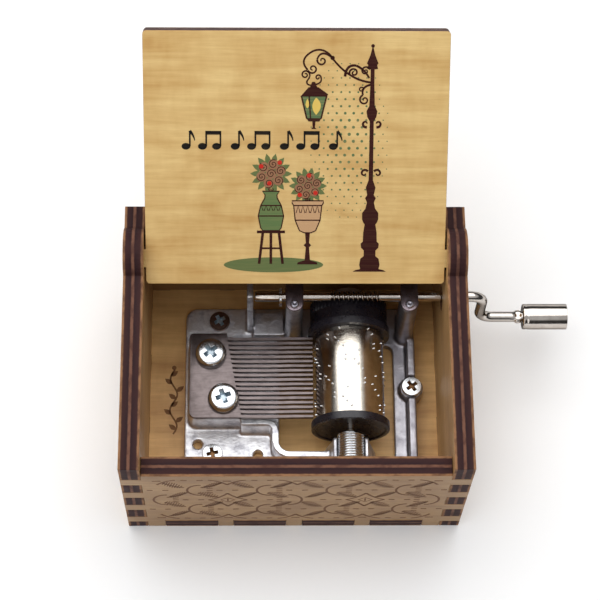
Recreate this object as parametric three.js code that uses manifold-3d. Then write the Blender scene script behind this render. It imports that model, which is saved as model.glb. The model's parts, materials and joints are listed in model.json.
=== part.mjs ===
// Hand-cranked musical movement in a laser-cut plywood box with a hinged lid.
// Units are millimetres, +Z is up, and the origin is at the centre of the box's underside.
// The front of the box faces -Y and the crank comes out on the right, +X. The lid rests open.

import * as THREE from 'three';
import { mergeVertices } from 'three/addons/utils/BufferGeometryUtils.js';
import Module from 'manifold-3d';

const wasm = await Module();
wasm.setup();

// ---------------------------------------------------------------- driving dimensions

// Box
const BOX_WIDTH = 64; // X, over the side panels
const BOX_DEPTH = 52; // Y, over the front and back panels
const PLY = 3.8; // panel thickness
const WALL_TOP = 34.8; // height of the side and back panels
const FRONT_TOP = 31; // height of the front panel, which the closed lid lies on
const KERF = 0.05; // laser gap on each side of a finger
const FINGER_WIDTH = 3.2; // corner fingers of the front and back panels
const FINGER_PITCH = 7.6;
const FIRST_FINGER_Z = 4.5;
const FINGER_COUNT = 4;
const TAB_WIDTH = 10; // tabs of the bottom panel
const FRONT_TAB_CENTRES = [-19.7, -6.6, 6.6, 19.7];
const SIDE_TAB_CENTRES = [-13.2, 0, 13.2];

// Lid and its pivots
const PIVOT_Y = 16.6;
const PIVOT_Z = 32.95;
const LID_WIDTH = 55.8;
const LID_FRONT = 42.6; // pivot to the front edge
const LID_REAR = 4.9; // pivot to the rear edge
const LID_OPEN_DEG = 140.5; // from closed to resting on the back panel
const LID_TAB_LENGTH = 3.5; // along the lid
const LID_TAB_REACH = 31.5; // tab ends, from the middle of the box
const LID_CORNER = 0.7;
const PIVOT_HOLE_RADIUS = 2.68;
const EAR_RADIUS = 5.25;

// Musical movement: datum levels
const BED_BOTTOM = PLY + 0.05;
const PLATE_TOP = 5.6;
const COMB_BED_TOP = 13;
const SHAFT_Y = 13.2;
const SHAFT_Z = 21.6;

// Worm and wheel
const MODULE = 0.29;
const WHEEL_TEETH = 50;
const WORM_PITCH_RADIUS = 0.8;
const ADDENDUM = 0.22;
const WHEEL_DEDENDUM = 0.3;
const WORM_DEDENDUM = 0.28;
const TOOTH_THICKNESS = 0.34; // at the pitch circle, on worm and wheel alike
const TOOTH_TIP_THICKNESS = 0.2;
const TOOTH_ROOT_THICKNESS = 0.5;
const PITCH = Math.PI * MODULE; // also the lead of the single-start worm
const WHEEL_PITCH_RADIUS = MODULE * WHEEL_TEETH / 2;
const WORM_LENGTH = 9.2;
const WORM_CENTRE_X = 11.6;

// Pinned cylinder
const CYL_X = 10.7;
const CYL_Z = SHAFT_Z - WORM_PITCH_RADIUS - WHEEL_PITCH_RADIUS;
const CYL_RADIUS = 6.6;
const CYL_WALL = 0.7;
const CYL_FRONT = -9.7;
const CYL_REAR = 7.9;
const CAP_RADIUS = 7.5;
const CAP_THICKNESS = 1.5;
const CAP_SPIGOT = 1.6;
const REAR_FLANGE = { radius: 7.9, thickness: 1.4 }; // front rim of the worm wheel's drum
const WHEEL_FACE = 2.6;
const ARBOR_RADIUS = 0.8;
const ARBOR_FRONT = -16;
const ARBOR_REAR = 17;
const RUNNING_GAP = 0.06;
const PIN_PROUD = 0.3;
const PIN_WIDTH = 0.34;
const PINS_PER_TRACK = 4;

// Comb
const TOOTH_COUNT = 18;
const TOOTH_PITCH = 0.94;
const TOOTH_WIDTH = 0.62;
const TOOTH_MIDDLE_Y = -0.45;
const COMB_LEFT = -20.2;
const COMB_TIP = 3.65;
const COMB_ROOT_REAR = -13.2;
const COMB_ROOT_FRONT = -10.3;
const COMB_THICKNESS = 1;
const COMB_BOTTOM = COMB_BED_TOP + 0.05;
const COMB_MARGIN = 0.8; // from the rearmost tooth to the plate's rear edge
const COMB_CORNER = 1.6;
const COMB_SCREWS = { rear: [-16.1, 4.2], front: [-13.6, -5] };
const M3_RADIUS = 1.5;

// Screws that hold the movement to the floor of the box
const FRAME_SCREWS = {
  rear_left: [-14.6, 14.4, PLATE_TOP],
  front_left: [-15.8, -13.4, PLATE_TOP],
  right: [23.1, -0.3, 7.6],
};
const WOOD_SCREW_RADIUS = 0.95;

// Shaft bearings
const SHAFT_RADIUS = 1;
const POSTS = { left: 0, right: 22 };
const POST_Y = 11.2;
const POST_RADIUS = 1.65;
const POST_TOP = SHAFT_Z + SHAFT_RADIUS + 0.05;
const STRAP_THICKNESS = 0.6;
const STRAP_REAR = 15.7;
const RIVET_HEAD_RADIUS = 0.85;
const RIVET_SHANK_RADIUS = 0.5;
const RIVET_DEPTH = 2; // how far the shank goes down into the post
const RIVET_Y = POST_Y - 0.4;
const CHEEK_HALF = 1.4; // half width of the post behind the column, round the shaft's slot

// Crank and knob
const SHAFT_LEFT = -7.6;
const CRANK_X = 36.4; // middle of the crank arm
const CRANK_THROW = 10.1;
const BEND_START = 30; // where the bent end is joined to the straight shaft
const BEND_RADIUS = 2;
const PIN_START = 41; // where the straight pin under the knob takes over from the bent rod
const CRIMP = { left: 43.6, right: 44.7, proud: 0.35 }; // collar pressed out of the pin
const PIN_HEAD = { radius: 1.5, thickness: 0.5 }; // keeps the knob on
const KNOB_LEFT = 45.05;
const KNOB_LENGTH = 8.7;
const KNOB_RADIUS = 2.5;
const KNOB_WALL = 0.4;
const KNOB_END_WALL = 0.8;
const CLIP_X = -2.9; // left face of the retaining clip
const CLIP_THICKNESS = 0.5;
const CLIP_RADIUS = 1.9;
const GROOVE_RADIUS = 0.8;
const CRANK_HOLE_RADIUS = 2.8; // lets the knob through when the panel goes on

// Bearing bushes of the cylinder arbor
const BUSH_RADIUS = 2.65;
const BUSH_REAR = -12;
const BUSH_FRONT = -17.6;
const LUG_REAR = -12.8;
const LUG_FRONT = -16.8;
const REAR_BUSH_RADIUS = 1.6;

const RAD = Math.PI / 180;

// ---------------------------------------------------------------- solids

function toSolid(geometry) {
  const plain = geometry.clone();
  plain.deleteAttribute('normal');
  plain.deleteAttribute('uv');
  const merged = mergeVertices(plain, 1e-5);
  const index = merged.index.array;
  const triangles = [];
  for (let i = 0; i < index.length; i += 3) {
    const [a, b, c] = [index[i], index[i + 1], index[i + 2]];
    if (a !== b && b !== c && c !== a) triangles.push(a, b, c);
  }
  return new wasm.Manifold(new wasm.Mesh({
    numProp: 3,
    vertProperties: new Float32Array(merged.attributes.position.array),
    triVerts: new Uint32Array(triangles),
  }));
}

function toGeometry(solid) {
  const mesh = solid.getMesh();
  const geometry = new THREE.BufferGeometry();
  geometry.setAttribute('position', new THREE.BufferAttribute(mesh.vertProperties, 3));
  geometry.setIndex(new THREE.BufferAttribute(mesh.triVerts, 1));
  geometry.computeVertexNormals();
  return geometry;
}

function join(first, ...others) {
  return others.reduce((sum, solid) => sum.add(solid), first);
}

function cut(first, ...tools) {
  return tools.reduce((rest, solid) => rest.subtract(solid), first);
}

function block([x0, x1], [y0, y1], [z0, z1]) {
  const geometry = new THREE.BoxGeometry(x1 - x0, y1 - y0, z1 - z0);
  geometry.translate((x0 + x1) / 2, (y0 + y1) / 2, (z0 + z1) / 2);
  return toSolid(geometry);
}

// Turns the +Z direction of a geometry to the named axis, keeping it right-handed.
function alignTo(geometry, axis) {
  const matrix = new THREE.Matrix4();
  if (axis === 'x') matrix.set(0, 0, 1, 0, 1, 0, 0, 0, 0, 1, 0, 0, 0, 0, 0, 1);
  if (axis === 'y') matrix.set(0, 1, 0, 0, 0, 0, 1, 0, 1, 0, 0, 0, 0, 0, 0, 1);
  return geometry.applyMatrix4(matrix);
}

// Extrudes an outline between two levels along an axis. The outline's own axes are
// (X, Y) for z, (Y, Z) for x and (Z, X) for y.
function prism(shape, axis, from, to, curveSegments = 8) {
  const options = { depth: to - from, bevelEnabled: false, curveSegments };
  const geometry = new THREE.ExtrudeGeometry(shape, options);
  geometry.translate(0, 0, from);
  return toSolid(alignTo(geometry, axis));
}

// Turns a profile of [radius, distance] points, listed from low to high, about an axis
// through the centre. The profile starts and ends on the axis, or is a closed loop.
function turned(profile, axis, centre = [0, 0, 0], segments = 24) {
  const points = profile.map(([radius, along]) => new THREE.Vector2(radius, along));
  const geometry = new THREE.LatheGeometry(points, segments);
  geometry.rotateX(90 * RAD);
  alignTo(geometry, axis);
  geometry.translate(...centre);
  return toSolid(geometry);
}

function rod(radius, axis, from, to, centre = [0, 0, 0], segments = 24) {
  return turned([[0, from], [radius, from], [radius, to], [0, to]], axis, centre, segments);
}

function tube(outer, inner, axis, from, to, centre = [0, 0, 0], segments = 24) {
  const profile = [[inner, from], [outer, from], [outer, to], [inner, to], [inner, from]];
  return turned(profile, axis, centre, segments);
}

function roundedRectangle(x0, x1, y0, y1, radius) {
  const shape = new THREE.Shape();
  shape.moveTo(x0 + radius, y0);
  shape.lineTo(x1 - radius, y0);
  shape.absarc(x1 - radius, y0 + radius, radius, -90 * RAD, 0);
  shape.lineTo(x1, y1 - radius);
  shape.absarc(x1 - radius, y1 - radius, radius, 0, 90 * RAD);
  shape.lineTo(x0 + radius, y1);
  shape.absarc(x0 + radius, y1 - radius, radius, 90 * RAD, 180 * RAD);
  shape.lineTo(x0, y0 + radius);
  shape.absarc(x0 + radius, y0 + radius, radius, 180 * RAD, 270 * RAD);
  return shape;
}

// A closed outline through corners [x, y, setback]; a corner with a setback is rounded.
function polygon(corners) {
  const shape = new THREE.Shape();
  const towards = ([x, y], [toX, toY], distance) => {
    const share = distance / Math.hypot(toX - x, toY - y);
    return [x + (toX - x) * share, y + (toY - y) * share];
  };
  corners.forEach((corner, i) => {
    const [x, y, setback = 0] = corner;
    const start = towards(corner, corners.at(i - 1), setback);
    if (i === 0) shape.moveTo(...start);
    else shape.lineTo(...start);
    if (setback > 0) {
      shape.quadraticCurveTo(x, y, ...towards(corner, corners[(i + 1) % corners.length], setback));
    }
  });
  return shape;
}

// ---------------------------------------------------------------- materials

function finish(color, roughness, metalness) {
  return new THREE.MeshStandardMaterial({ color, roughness, metalness });
}

const PLYWOOD = finish(0xcda86c, 0.55, 0);
const CASTING = finish(0xa9aaae, 0.45, 0.9);
const SPRING_STEEL = finish(0x8d8685, 0.4, 0.9);
const NICKEL = finish(0xd6d2cc, 0.15, 1);
const ZINC = finish(0xc9cacc, 0.3, 1);
const DARK_STEEL = finish(0x4a4644, 0.4, 0.9);
const BLACK_PLASTIC = finish(0x17151a, 0.35, 0);

const model = new THREE.Group();

function add(name, solid, material, parent = model) {
  const mesh = new THREE.Mesh(toGeometry(solid), material);
  mesh.name = name;
  parent.add(mesh);
}

// ---------------------------------------------------------------- box

const HALF_W = BOX_WIDTH / 2;
const HALF_D = BOX_DEPTH / 2;
const INNER_W = HALF_W - PLY;
const INNER_D = HALF_D - PLY;
const OVER = 1; // how far a cutter runs past the surface it opens

const fingerSpans = Array.from({ length: FINGER_COUNT }, (_, i) => {
  const middle = FIRST_FINGER_Z + i * FINGER_PITCH;
  return [middle - FINGER_WIDTH / 2, middle + FINGER_WIDTH / 2];
});

// The front or back panel: fingers at both ends, slots for the bottom panel's tabs below.
function crossPanel(y0, y1, top) {
  const panel = block([-INNER_W + KERF, INNER_W - KERF], [y0, y1], [0, top]);
  const fingers = fingerSpans.map(([z0, z1]) => block([-HALF_W, HALF_W], [y0, y1], [z0, z1]));
  const slots = FRONT_TAB_CENTRES.map((x) => block(
    [x - TAB_WIDTH / 2 - KERF, x + TAB_WIDTH / 2 + KERF], [y0 - OVER, y1 + OVER],
    [-OVER, PLY + KERF],
  ));
  return cut(join(panel, ...fingers), ...slots);
}

// A side panel: an ear round the lid pivot, slots for the fingers and tabs of its neighbours.
function sidePanel(x0, x1) {
  const wall = block([x0, x1], [-HALF_D, HALF_D], [0, WALL_TOP]);
  const ear = rod(EAR_RADIUS, 'x', x0, x1, [0, PIVOT_Y, PIVOT_Z], 36);
  const pivotHole = rod(PIVOT_HOLE_RADIUS, 'x', x0 - OVER, x1 + OVER, [0, PIVOT_Y, PIVOT_Z], 24);
  const throughX = [x0 - OVER, x1 + OVER];
  const fingerSlots = fingerSpans.flatMap(([z0, z1]) => [-1, 1].map((side) => {
    const ends = [side * (INNER_D - KERF), side * (HALF_D + OVER)].sort((a, b) => a - b);
    return block(throughX, ends, [z0 - KERF, z1 + KERF]);
  }));
  const tabSlots = SIDE_TAB_CENTRES.map((y) => block(
    throughX, [y - TAB_WIDTH / 2 - KERF, y + TAB_WIDTH / 2 + KERF], [-OVER, PLY + KERF],
  ));
  return cut(join(wall, ear), pivotHole, ...fingerSlots, ...tabSlots);
}

function bottomPanel() {
  const floor = block([-INNER_W + KERF, INNER_W - KERF], [-INNER_D + KERF, INNER_D - KERF], [0, PLY]);
  const alongY = FRONT_TAB_CENTRES.map((x) => block(
    [x - TAB_WIDTH / 2, x + TAB_WIDTH / 2], [-HALF_D, HALF_D], [0, PLY],
  ));
  const alongX = SIDE_TAB_CENTRES.map((y) => block(
    [-HALF_W, HALF_W], [y - TAB_WIDTH / 2, y + TAB_WIDTH / 2], [0, PLY],
  ));
  const pilotHoles = Object.values(FRAME_SCREWS).map(([x, y]) => (
    rod(WOOD_SCREW_RADIUS + 0.05, 'z', -OVER, PLY + OVER, [x, y, 0], 12)
  ));
  return cut(join(floor, ...alongY, ...alongX), ...pilotHoles);
}

// The lid about its own pivot, in its closed direction: the front edge lies towards -Y.
function lidPlate() {
  const outline = roundedRectangle(-LID_WIDTH / 2, LID_WIDTH / 2, -LID_FRONT, LID_REAR, LID_CORNER);
  const plate = prism(outline, 'z', -PLY / 2, PLY / 2, 4);
  const halfTab = LID_TAB_LENGTH / 2;
  const tabs = block([-LID_TAB_REACH, LID_TAB_REACH], [-halfTab, halfTab], [-PLY / 2, PLY / 2]);
  return join(plate, tabs);
}

function buildBox() {
  const crankHole = rod(
    CRANK_HOLE_RADIUS, 'x', INNER_W - OVER, HALF_W + OVER, [0, SHAFT_Y, SHAFT_Z], 32,
  );
  add('bottom_panel', bottomPanel(), PLYWOOD);
  add('front_panel', crossPanel(-HALF_D, -INNER_D, FRONT_TOP), PLYWOOD);
  add('back_panel', crossPanel(INNER_D, HALF_D, WALL_TOP), PLYWOOD);
  add('left_side_panel', sidePanel(-HALF_W, -INNER_W), PLYWOOD);
  add('right_side_panel', cut(sidePanel(INNER_W, HALF_W), crankHole), PLYWOOD);

  const lidGroup = new THREE.Group();
  lidGroup.position.set(0, PIVOT_Y, PIVOT_Z);
  lidGroup.rotation.x = -LID_OPEN_DEG * RAD;
  model.add(lidGroup);
  add('lid', lidPlate(), PLYWOOD, lidGroup);
}

// ---------------------------------------------------------------- bedplate casting

const PLATE = { left: -21.3, right: 24, front: -19.5, rear: 17.4 };
const PLATE_CORNER = 2.5;
const WINDOW = { left: -2.8, right: 19.7, front: -14.4, rear: 9.4 };
const WINDOW_CORNER = 1.5;
const SEAT = { left: -20.4, front: -7.9, rear: 8.9, corner: 1.8 }; // raised seat of the comb
const SEAT_RECESS = 0.3; // from the seat's right side to the roots of the teeth
const RIB_TOP = 11;
const RIB_WIDTH = 1.3;
const SIDE_RIB = { left: 22.3, right: 23.9, front: -15, rear: 9.8, top: 8.6 };
const BOSS_RADIUS = 2.3;
const SHAFT_STOP = { left: -9.1, right: -7.9, front: 12.4, top: 22.9 }; // wall at the shaft's end
const PAD = { right: -2, front: 10.6, rear: 15.6, top: 8 }; // foot beside that wall
const REAR_LUG = { half: 3, front: 15.2 };
const SPARE_HOLES = [[-18.7, -11.2], [-7, -13.4]];
const SUNK = 0.2; // how far a raised feature runs into the plate below it

function basePlate() {
  const outline = roundedRectangle(PLATE.left, PLATE.right, PLATE.front, PLATE.rear, PLATE_CORNER);
  outline.holes.push(
    roundedRectangle(WINDOW.left, WINDOW.right, WINDOW.front, WINDOW.rear, WINDOW_CORNER),
  );
  return prism(outline, 'z', BED_BOTTOM, PLATE_TOP, 4);
}

// The raised seat of the comb, with its right side along the roots of the teeth.
function combBed() {
  const seat = polygon([
    [SEAT.left, SEAT.front, SEAT.corner], [COMB_ROOT_FRONT + SEAT_RECESS, SEAT.front],
    [COMB_ROOT_REAR + SEAT_RECESS, SEAT.rear], [SEAT.left, SEAT.rear, SEAT.corner / 2],
  ]);
  const screwHoles = Object.values(COMB_SCREWS).map(([x, y]) => (
    rod(M3_RADIUS + 0.05, 'z', PLATE_TOP + 1, COMB_BED_TOP + OVER, [x, y, 0], 16)
  ));
  return cut(prism(seat, 'z', PLATE_TOP - SUNK, COMB_BED_TOP, 4), ...screwHoles);
}

// The curved wall from the comb seat round the window to the front bearing lug.
function frontRib() {
  const [turnX, nearY, farY, bend] = [-3, SEAT.front, WINDOW.front, 2.2];
  const outline = new THREE.Shape();
  outline.moveTo(COMB_ROOT_FRONT, nearY);
  outline.lineTo(turnX - bend, nearY);
  outline.absarc(turnX - bend, nearY - bend, bend, 90 * RAD, 0, true);
  outline.lineTo(turnX, farY + bend);
  outline.absarc(turnX + bend, farY + bend, bend, 180 * RAD, 270 * RAD);
  outline.lineTo(CYL_X - 4, farY);
  outline.lineTo(CYL_X - 4, farY - RIB_WIDTH);
  outline.lineTo(turnX + bend, farY - RIB_WIDTH);
  outline.absarc(turnX + bend, farY + bend, bend + RIB_WIDTH, 270 * RAD, 180 * RAD, true);
  outline.lineTo(turnX - RIB_WIDTH, nearY - bend);
  outline.absarc(turnX - bend, nearY - bend, bend - RIB_WIDTH, 0, 90 * RAD);
  outline.lineTo(COMB_ROOT_FRONT, nearY - RIB_WIDTH);
  return prism(outline, 'z', PLATE_TOP - SUNK, RIB_TOP, 4);
}

// The lug that carries the front bush: an A shape drawn in (Z, X), open at the top so
// that the bush lies in it as in a fork.
function frontLug() {
  const [footHalf, headHalf, headRadius] = [5.2, 3.3, 3.5];
  const forkTop = CYL_Z + 0.9;
  const legs = polygon([
    [PLATE_TOP - SUNK, CYL_X - footHalf], [CYL_Z, CYL_X - headHalf],
    [CYL_Z, CYL_X + headHalf], [PLATE_TOP - SUNK, CYL_X + footHalf],
  ]);
  const body = prism(legs, 'y', LUG_FRONT, LUG_REAR);
  const head = rod(headRadius, 'y', LUG_FRONT, LUG_REAR, [CYL_X, 0, CYL_Z]);
  const bore = rod(BUSH_RADIUS + 0.05, 'y', LUG_FRONT - OVER, LUG_REAR + OVER, [CYL_X, 0, CYL_Z]);
  const opening = block([CYL_X - footHalf, CYL_X + footHalf], [LUG_FRONT - OVER, LUG_REAR + OVER],
    [forkTop, forkTop + headRadius]);
  return cut(join(body, head), bore, opening);
}

function rearLug() {
  const { half, front: y0 } = REAR_LUG;
  const y1 = PLATE.rear;
  const body = block([CYL_X - half, CYL_X + half], [y0, y1], [PLATE_TOP - SUNK, CYL_Z]);
  const head = rod(half, 'y', y0, y1, [CYL_X, 0, CYL_Z]);
  const bore = rod(REAR_BUSH_RADIUS + 0.05, 'y', y0 - OVER, y1 + OVER, [CYL_X, 0, CYL_Z]);
  return cut(join(body, head), bore);
}

// A post with a slot for the shaft behind it and a hole for the strap's rivet on top.
function shaftPost(x) {
  const column = rod(POST_RADIUS, 'z', PLATE_TOP - SUNK, POST_TOP, [x, POST_Y, 0]);
  const cheek = block([x - CHEEK_HALF, x + CHEEK_HALF], [POST_Y, STRAP_REAR],
    [PLATE_TOP - SUNK, POST_TOP]);
  const slotHalf = SHAFT_RADIUS + RUNNING_GAP;
  const across = [x - CHEEK_HALF - OVER, x + CHEEK_HALF + OVER];
  const seat = rod(slotHalf, 'x', ...across, [0, SHAFT_Y, SHAFT_Z]);
  const slot = block(across, [SHAFT_Y - slotHalf, SHAFT_Y + slotHalf], [SHAFT_Z, POST_TOP + OVER]);
  const rivetHole = rod(RIVET_SHANK_RADIUS + 0.05, 'z', POST_TOP - RIVET_DEPTH, POST_TOP + OVER,
    [x, RIVET_Y, 0], 12);
  return cut(join(column, cheek), seat, slot, rivetHole);
}

function bedplate() {
  const sideRib = block([SIDE_RIB.left, SIDE_RIB.right], [SIDE_RIB.front, SIDE_RIB.rear],
    [PLATE_TOP - SUNK, SIDE_RIB.top]);
  const [bossX, bossY, bossTop] = FRAME_SCREWS.right;
  const bossSpace = rod(BOSS_RADIUS, 'z', bossTop, SIDE_RIB.top + OVER, [bossX, bossY, 0]);
  const boss = rod(BOSS_RADIUS, 'z', BED_BOTTOM, bossTop, [bossX, bossY, 0]);
  const shaftStop = block([SHAFT_STOP.left, SHAFT_STOP.right], [SHAFT_STOP.front, PLATE.rear],
    [PLATE_TOP - SUNK, SHAFT_STOP.top]);
  const pad = block([SHAFT_STOP.right, PAD.right], [PAD.front, PAD.rear],
    [PLATE_TOP - SUNK, PAD.top]);
  const body = join(
    cut(sideRib, bossSpace), boss, basePlate(), combBed(), frontRib(), frontLug(), rearLug(),
    shaftPost(POSTS.left), shaftPost(POSTS.right), shaftStop, pad,
  );
  const screwHoles = Object.values(FRAME_SCREWS).map(([x, y]) => (
    rod(WOOD_SCREW_RADIUS + 0.05, 'z', BED_BOTTOM - OVER, RIB_TOP, [x, y, 0], 16)
  ));
  const spareHoles = SPARE_HOLES.map(([x, y]) => (
    rod(WOOD_SCREW_RADIUS, 'z', BED_BOTTOM - OVER, PLATE_TOP + OVER, [x, y, 0], 16)
  ));
  return cut(body, ...screwHoles, ...spareHoles);
}

// ---------------------------------------------------------------- comb

function combToothY(i) {
  return TOOTH_MIDDLE_Y + (i - (TOOTH_COUNT - 1) / 2) * TOOTH_PITCH;
}

// The comb is one steel plate; slots that run to a slanting root line leave the teeth.
function comb() {
  const front = combToothY(0) - TOOTH_WIDTH / 2;
  const rear = combToothY(TOOTH_COUNT - 1) + TOOTH_WIDTH / 2;
  const rootAt = (y) => (
    COMB_ROOT_FRONT + (COMB_ROOT_REAR - COMB_ROOT_FRONT) * (y - front) / (rear - front)
  );
  const points = [[COMB_LEFT, front, COMB_CORNER], [COMB_TIP, front]];
  for (let i = 0; i < TOOTH_COUNT - 1; i += 1) {
    const slotFront = combToothY(i) + TOOTH_WIDTH / 2;
    const slotRear = combToothY(i + 1) - TOOTH_WIDTH / 2;
    const root = rootAt((slotFront + slotRear) / 2);
    points.push([COMB_TIP, slotFront], [root, slotFront], [root, slotRear], [COMB_TIP, slotRear]);
  }
  points.push([COMB_TIP, rear], [COMB_ROOT_REAR, rear]);
  points.push([COMB_ROOT_REAR, rear + COMB_MARGIN]);
  points.push([COMB_LEFT, rear + COMB_MARGIN, COMB_CORNER / 2]);
  const plate = prism(polygon(points), 'z', COMB_BOTTOM, COMB_BOTTOM + COMB_THICKNESS, 4);
  const holes = Object.values(COMB_SCREWS).map(([x, y]) => (
    rod(M3_RADIUS + 0.1, 'z', COMB_BOTTOM - OVER, COMB_BOTTOM + 2 * OVER, [x, y, 0], 16)
  ));
  return cut(plate, ...holes);
}

// ---------------------------------------------------------------- screws and rivets

// A screw with a domed head and a cross recess; its head sits at the given level.
function crossScrew([x, y, seatZ], { head, height, shank, length, turn }) {
  const dome = [[0, -length], [shank * 0.55, -length], [shank, -length + 1], [shank, 0],
    [head, 0], [head, height * 0.35], [head * 0.8, height * 0.85], [head * 0.45, height],
    [0, height]];
  const body = turned(dome, 'z', [x, y, seatZ], 16);
  const [slotHalf, slotWidth, slotDepth] = [head * 0.52, head * 0.12, height * 0.55];
  const recess = [0, 90].map((angle) => {
    const slot = new THREE.BoxGeometry(2 * slotHalf, 2 * slotWidth, 2 * slotDepth);
    slot.rotateZ((angle + turn) * RAD);
    slot.translate(x, y, seatZ + height);
    return toSolid(slot);
  });
  return cut(body, ...recess);
}

function rivet(x) {
  const base = POST_TOP + 0.05 + STRAP_THICKNESS + 0.05;
  const profile = [[0, -RIVET_DEPTH], [RIVET_SHANK_RADIUS, -RIVET_DEPTH], [RIVET_SHANK_RADIUS, 0],
    [RIVET_HEAD_RADIUS, 0], [RIVET_HEAD_RADIUS, 0.3], [RIVET_HEAD_RADIUS * 0.6, 0.55], [0, 0.6]];
  return turned(profile, 'z', [x, RIVET_Y, base], 16);
}

function strap(x) {
  const half = POST_RADIUS + 0.05;
  const outline = new THREE.Shape();
  outline.moveTo(x + half, STRAP_REAR);
  outline.lineTo(x - half, STRAP_REAR);
  outline.lineTo(x - half, POST_Y);
  outline.absarc(x, POST_Y, half, 180 * RAD, 360 * RAD);
  const bottom = POST_TOP + 0.05;
  const hole = rod(RIVET_SHANK_RADIUS + 0.05, 'z', bottom - OVER, bottom + OVER + STRAP_THICKNESS,
    [x, RIVET_Y, 0], 12);
  return cut(prism(outline, 'z', bottom, bottom + STRAP_THICKNESS), hole);
}

function buildFasteners() {
  const combScrew = { head: 3.05, height: 1.9, shank: M3_RADIUS, length: 6.5 };
  const woodScrew = { head: 2, height: 1.1, shank: WOOD_SCREW_RADIUS };
  const combSeat = COMB_BOTTOM + COMB_THICKNESS + 0.05;
  const [rear, front] = [COMB_SCREWS.rear, COMB_SCREWS.front];
  add('comb_screw_rear', crossScrew([...rear, combSeat], { ...combScrew, turn: 38 }), ZINC);
  add('comb_screw_front', crossScrew([...front, combSeat], { ...combScrew, turn: 20 }), ZINC);
  const turns = { rear_left: 30, front_left: 12, right: 35 };
  for (const [place, [x, y, z]] of Object.entries(FRAME_SCREWS)) {
    const size = { ...woodScrew, length: z - 0.6, turn: turns[place] };
    add(`frame_screw_${place}`, crossScrew([x, y, z + 0.05], size), ZINC);
  }
  for (const [side, x] of Object.entries(POSTS)) {
    add(`shaft_strap_${side}`, strap(x), DARK_STEEL);
    add(`strap_rivet_${side}`, rivet(x), ZINC);
  }
}

// ---------------------------------------------------------------- worm and wheel

// Twists a solid of revolution-like section along X: each slice turns with its distance.
function twist(geometry, degreesPerMm) {
  const position = geometry.attributes.position;
  for (let i = 0; i < position.count; i += 1) {
    const angle = position.getZ(i) * degreesPerMm * RAD;
    const [x, y] = [position.getX(i), position.getY(i)];
    position.setXY(i, x * Math.cos(angle) - y * Math.sin(angle),
      x * Math.sin(angle) + y * Math.cos(angle));
  }
  return geometry;
}

// Half the angle that a thread of the given axial thickness takes up in a cross-section.
const threadHalfAngle = (thickness) => 180 * thickness / PITCH;

// The worm's cross-section is a round core with one broad lobe; turning it once per
// lead along the shaft makes the right-handed thread. The lobe points down at the wheel.
function worm() {
  const tip = WORM_PITCH_RADIUS + ADDENDUM;
  const root = WORM_PITCH_RADIUS - WORM_DEDENDUM;
  const tipHalf = threadHalfAngle(TOOTH_TIP_THICKNESS);
  const pitchHalf = threadHalfAngle(TOOTH_THICKNESS);
  const rootHalf = threadHalfAngle(TOOTH_ROOT_THICKNESS);
  const rootStep = (180 - rootHalf) / 3;
  const side = [
    [tip, tipHalf], [WORM_PITCH_RADIUS, pitchHalf], [root, rootHalf],
    [root, rootHalf + rootStep], [root, rootHalf + 2 * rootStep],
  ];
  const mirrored = side.map(([radius, angle]) => [radius, -angle]).reverse();
  const around = [[tip, 0], ...side, [root, 180], ...mirrored];
  const down = -90;
  const points = around.map(([radius, angle]) => (
    [radius * Math.cos((angle + down) * RAD), radius * Math.sin((angle + down) * RAD)]
  ));
  const stepsPerTurn = 8;
  const steps = Math.round(WORM_LENGTH / PITCH * stepsPerTurn);
  const options = { depth: WORM_LENGTH, steps, bevelEnabled: false };
  const geometry = new THREE.ExtrudeGeometry(polygon(points), options);
  geometry.translate(0, 0, WORM_CENTRE_X - WORM_LENGTH / 2 - CYL_X);
  alignTo(twist(geometry, 360 / PITCH), 'x');
  geometry.translate(CYL_X, SHAFT_Y, SHAFT_Z);
  return toSolid(geometry);
}

// The wheel's outline in (Z, X): a tooth space faces the worm at the top.
function wheelOutline() {
  const tip = WHEEL_PITCH_RADIUS + ADDENDUM;
  const root = WHEEL_PITCH_RADIUS - WHEEL_DEDENDUM;
  const halfAngle = (thickness, radius) => thickness / 2 / radius;
  const points = [];
  for (let i = 0; i < WHEEL_TEETH; i += 1) {
    const middle = (i + 0.5) * 2 * Math.PI / WHEEL_TEETH;
    const corners = [
      [root, -halfAngle(TOOTH_ROOT_THICKNESS, root)], [tip, -halfAngle(TOOTH_TIP_THICKNESS, tip)],
      [tip, halfAngle(TOOTH_TIP_THICKNESS, tip)], [root, halfAngle(TOOTH_ROOT_THICKNESS, root)],
    ];
    corners.forEach(([radius, offset]) => points.push(
      [radius * Math.cos(middle + offset), radius * Math.sin(middle + offset)],
    ));
  }
  return polygon(points);
}

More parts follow.
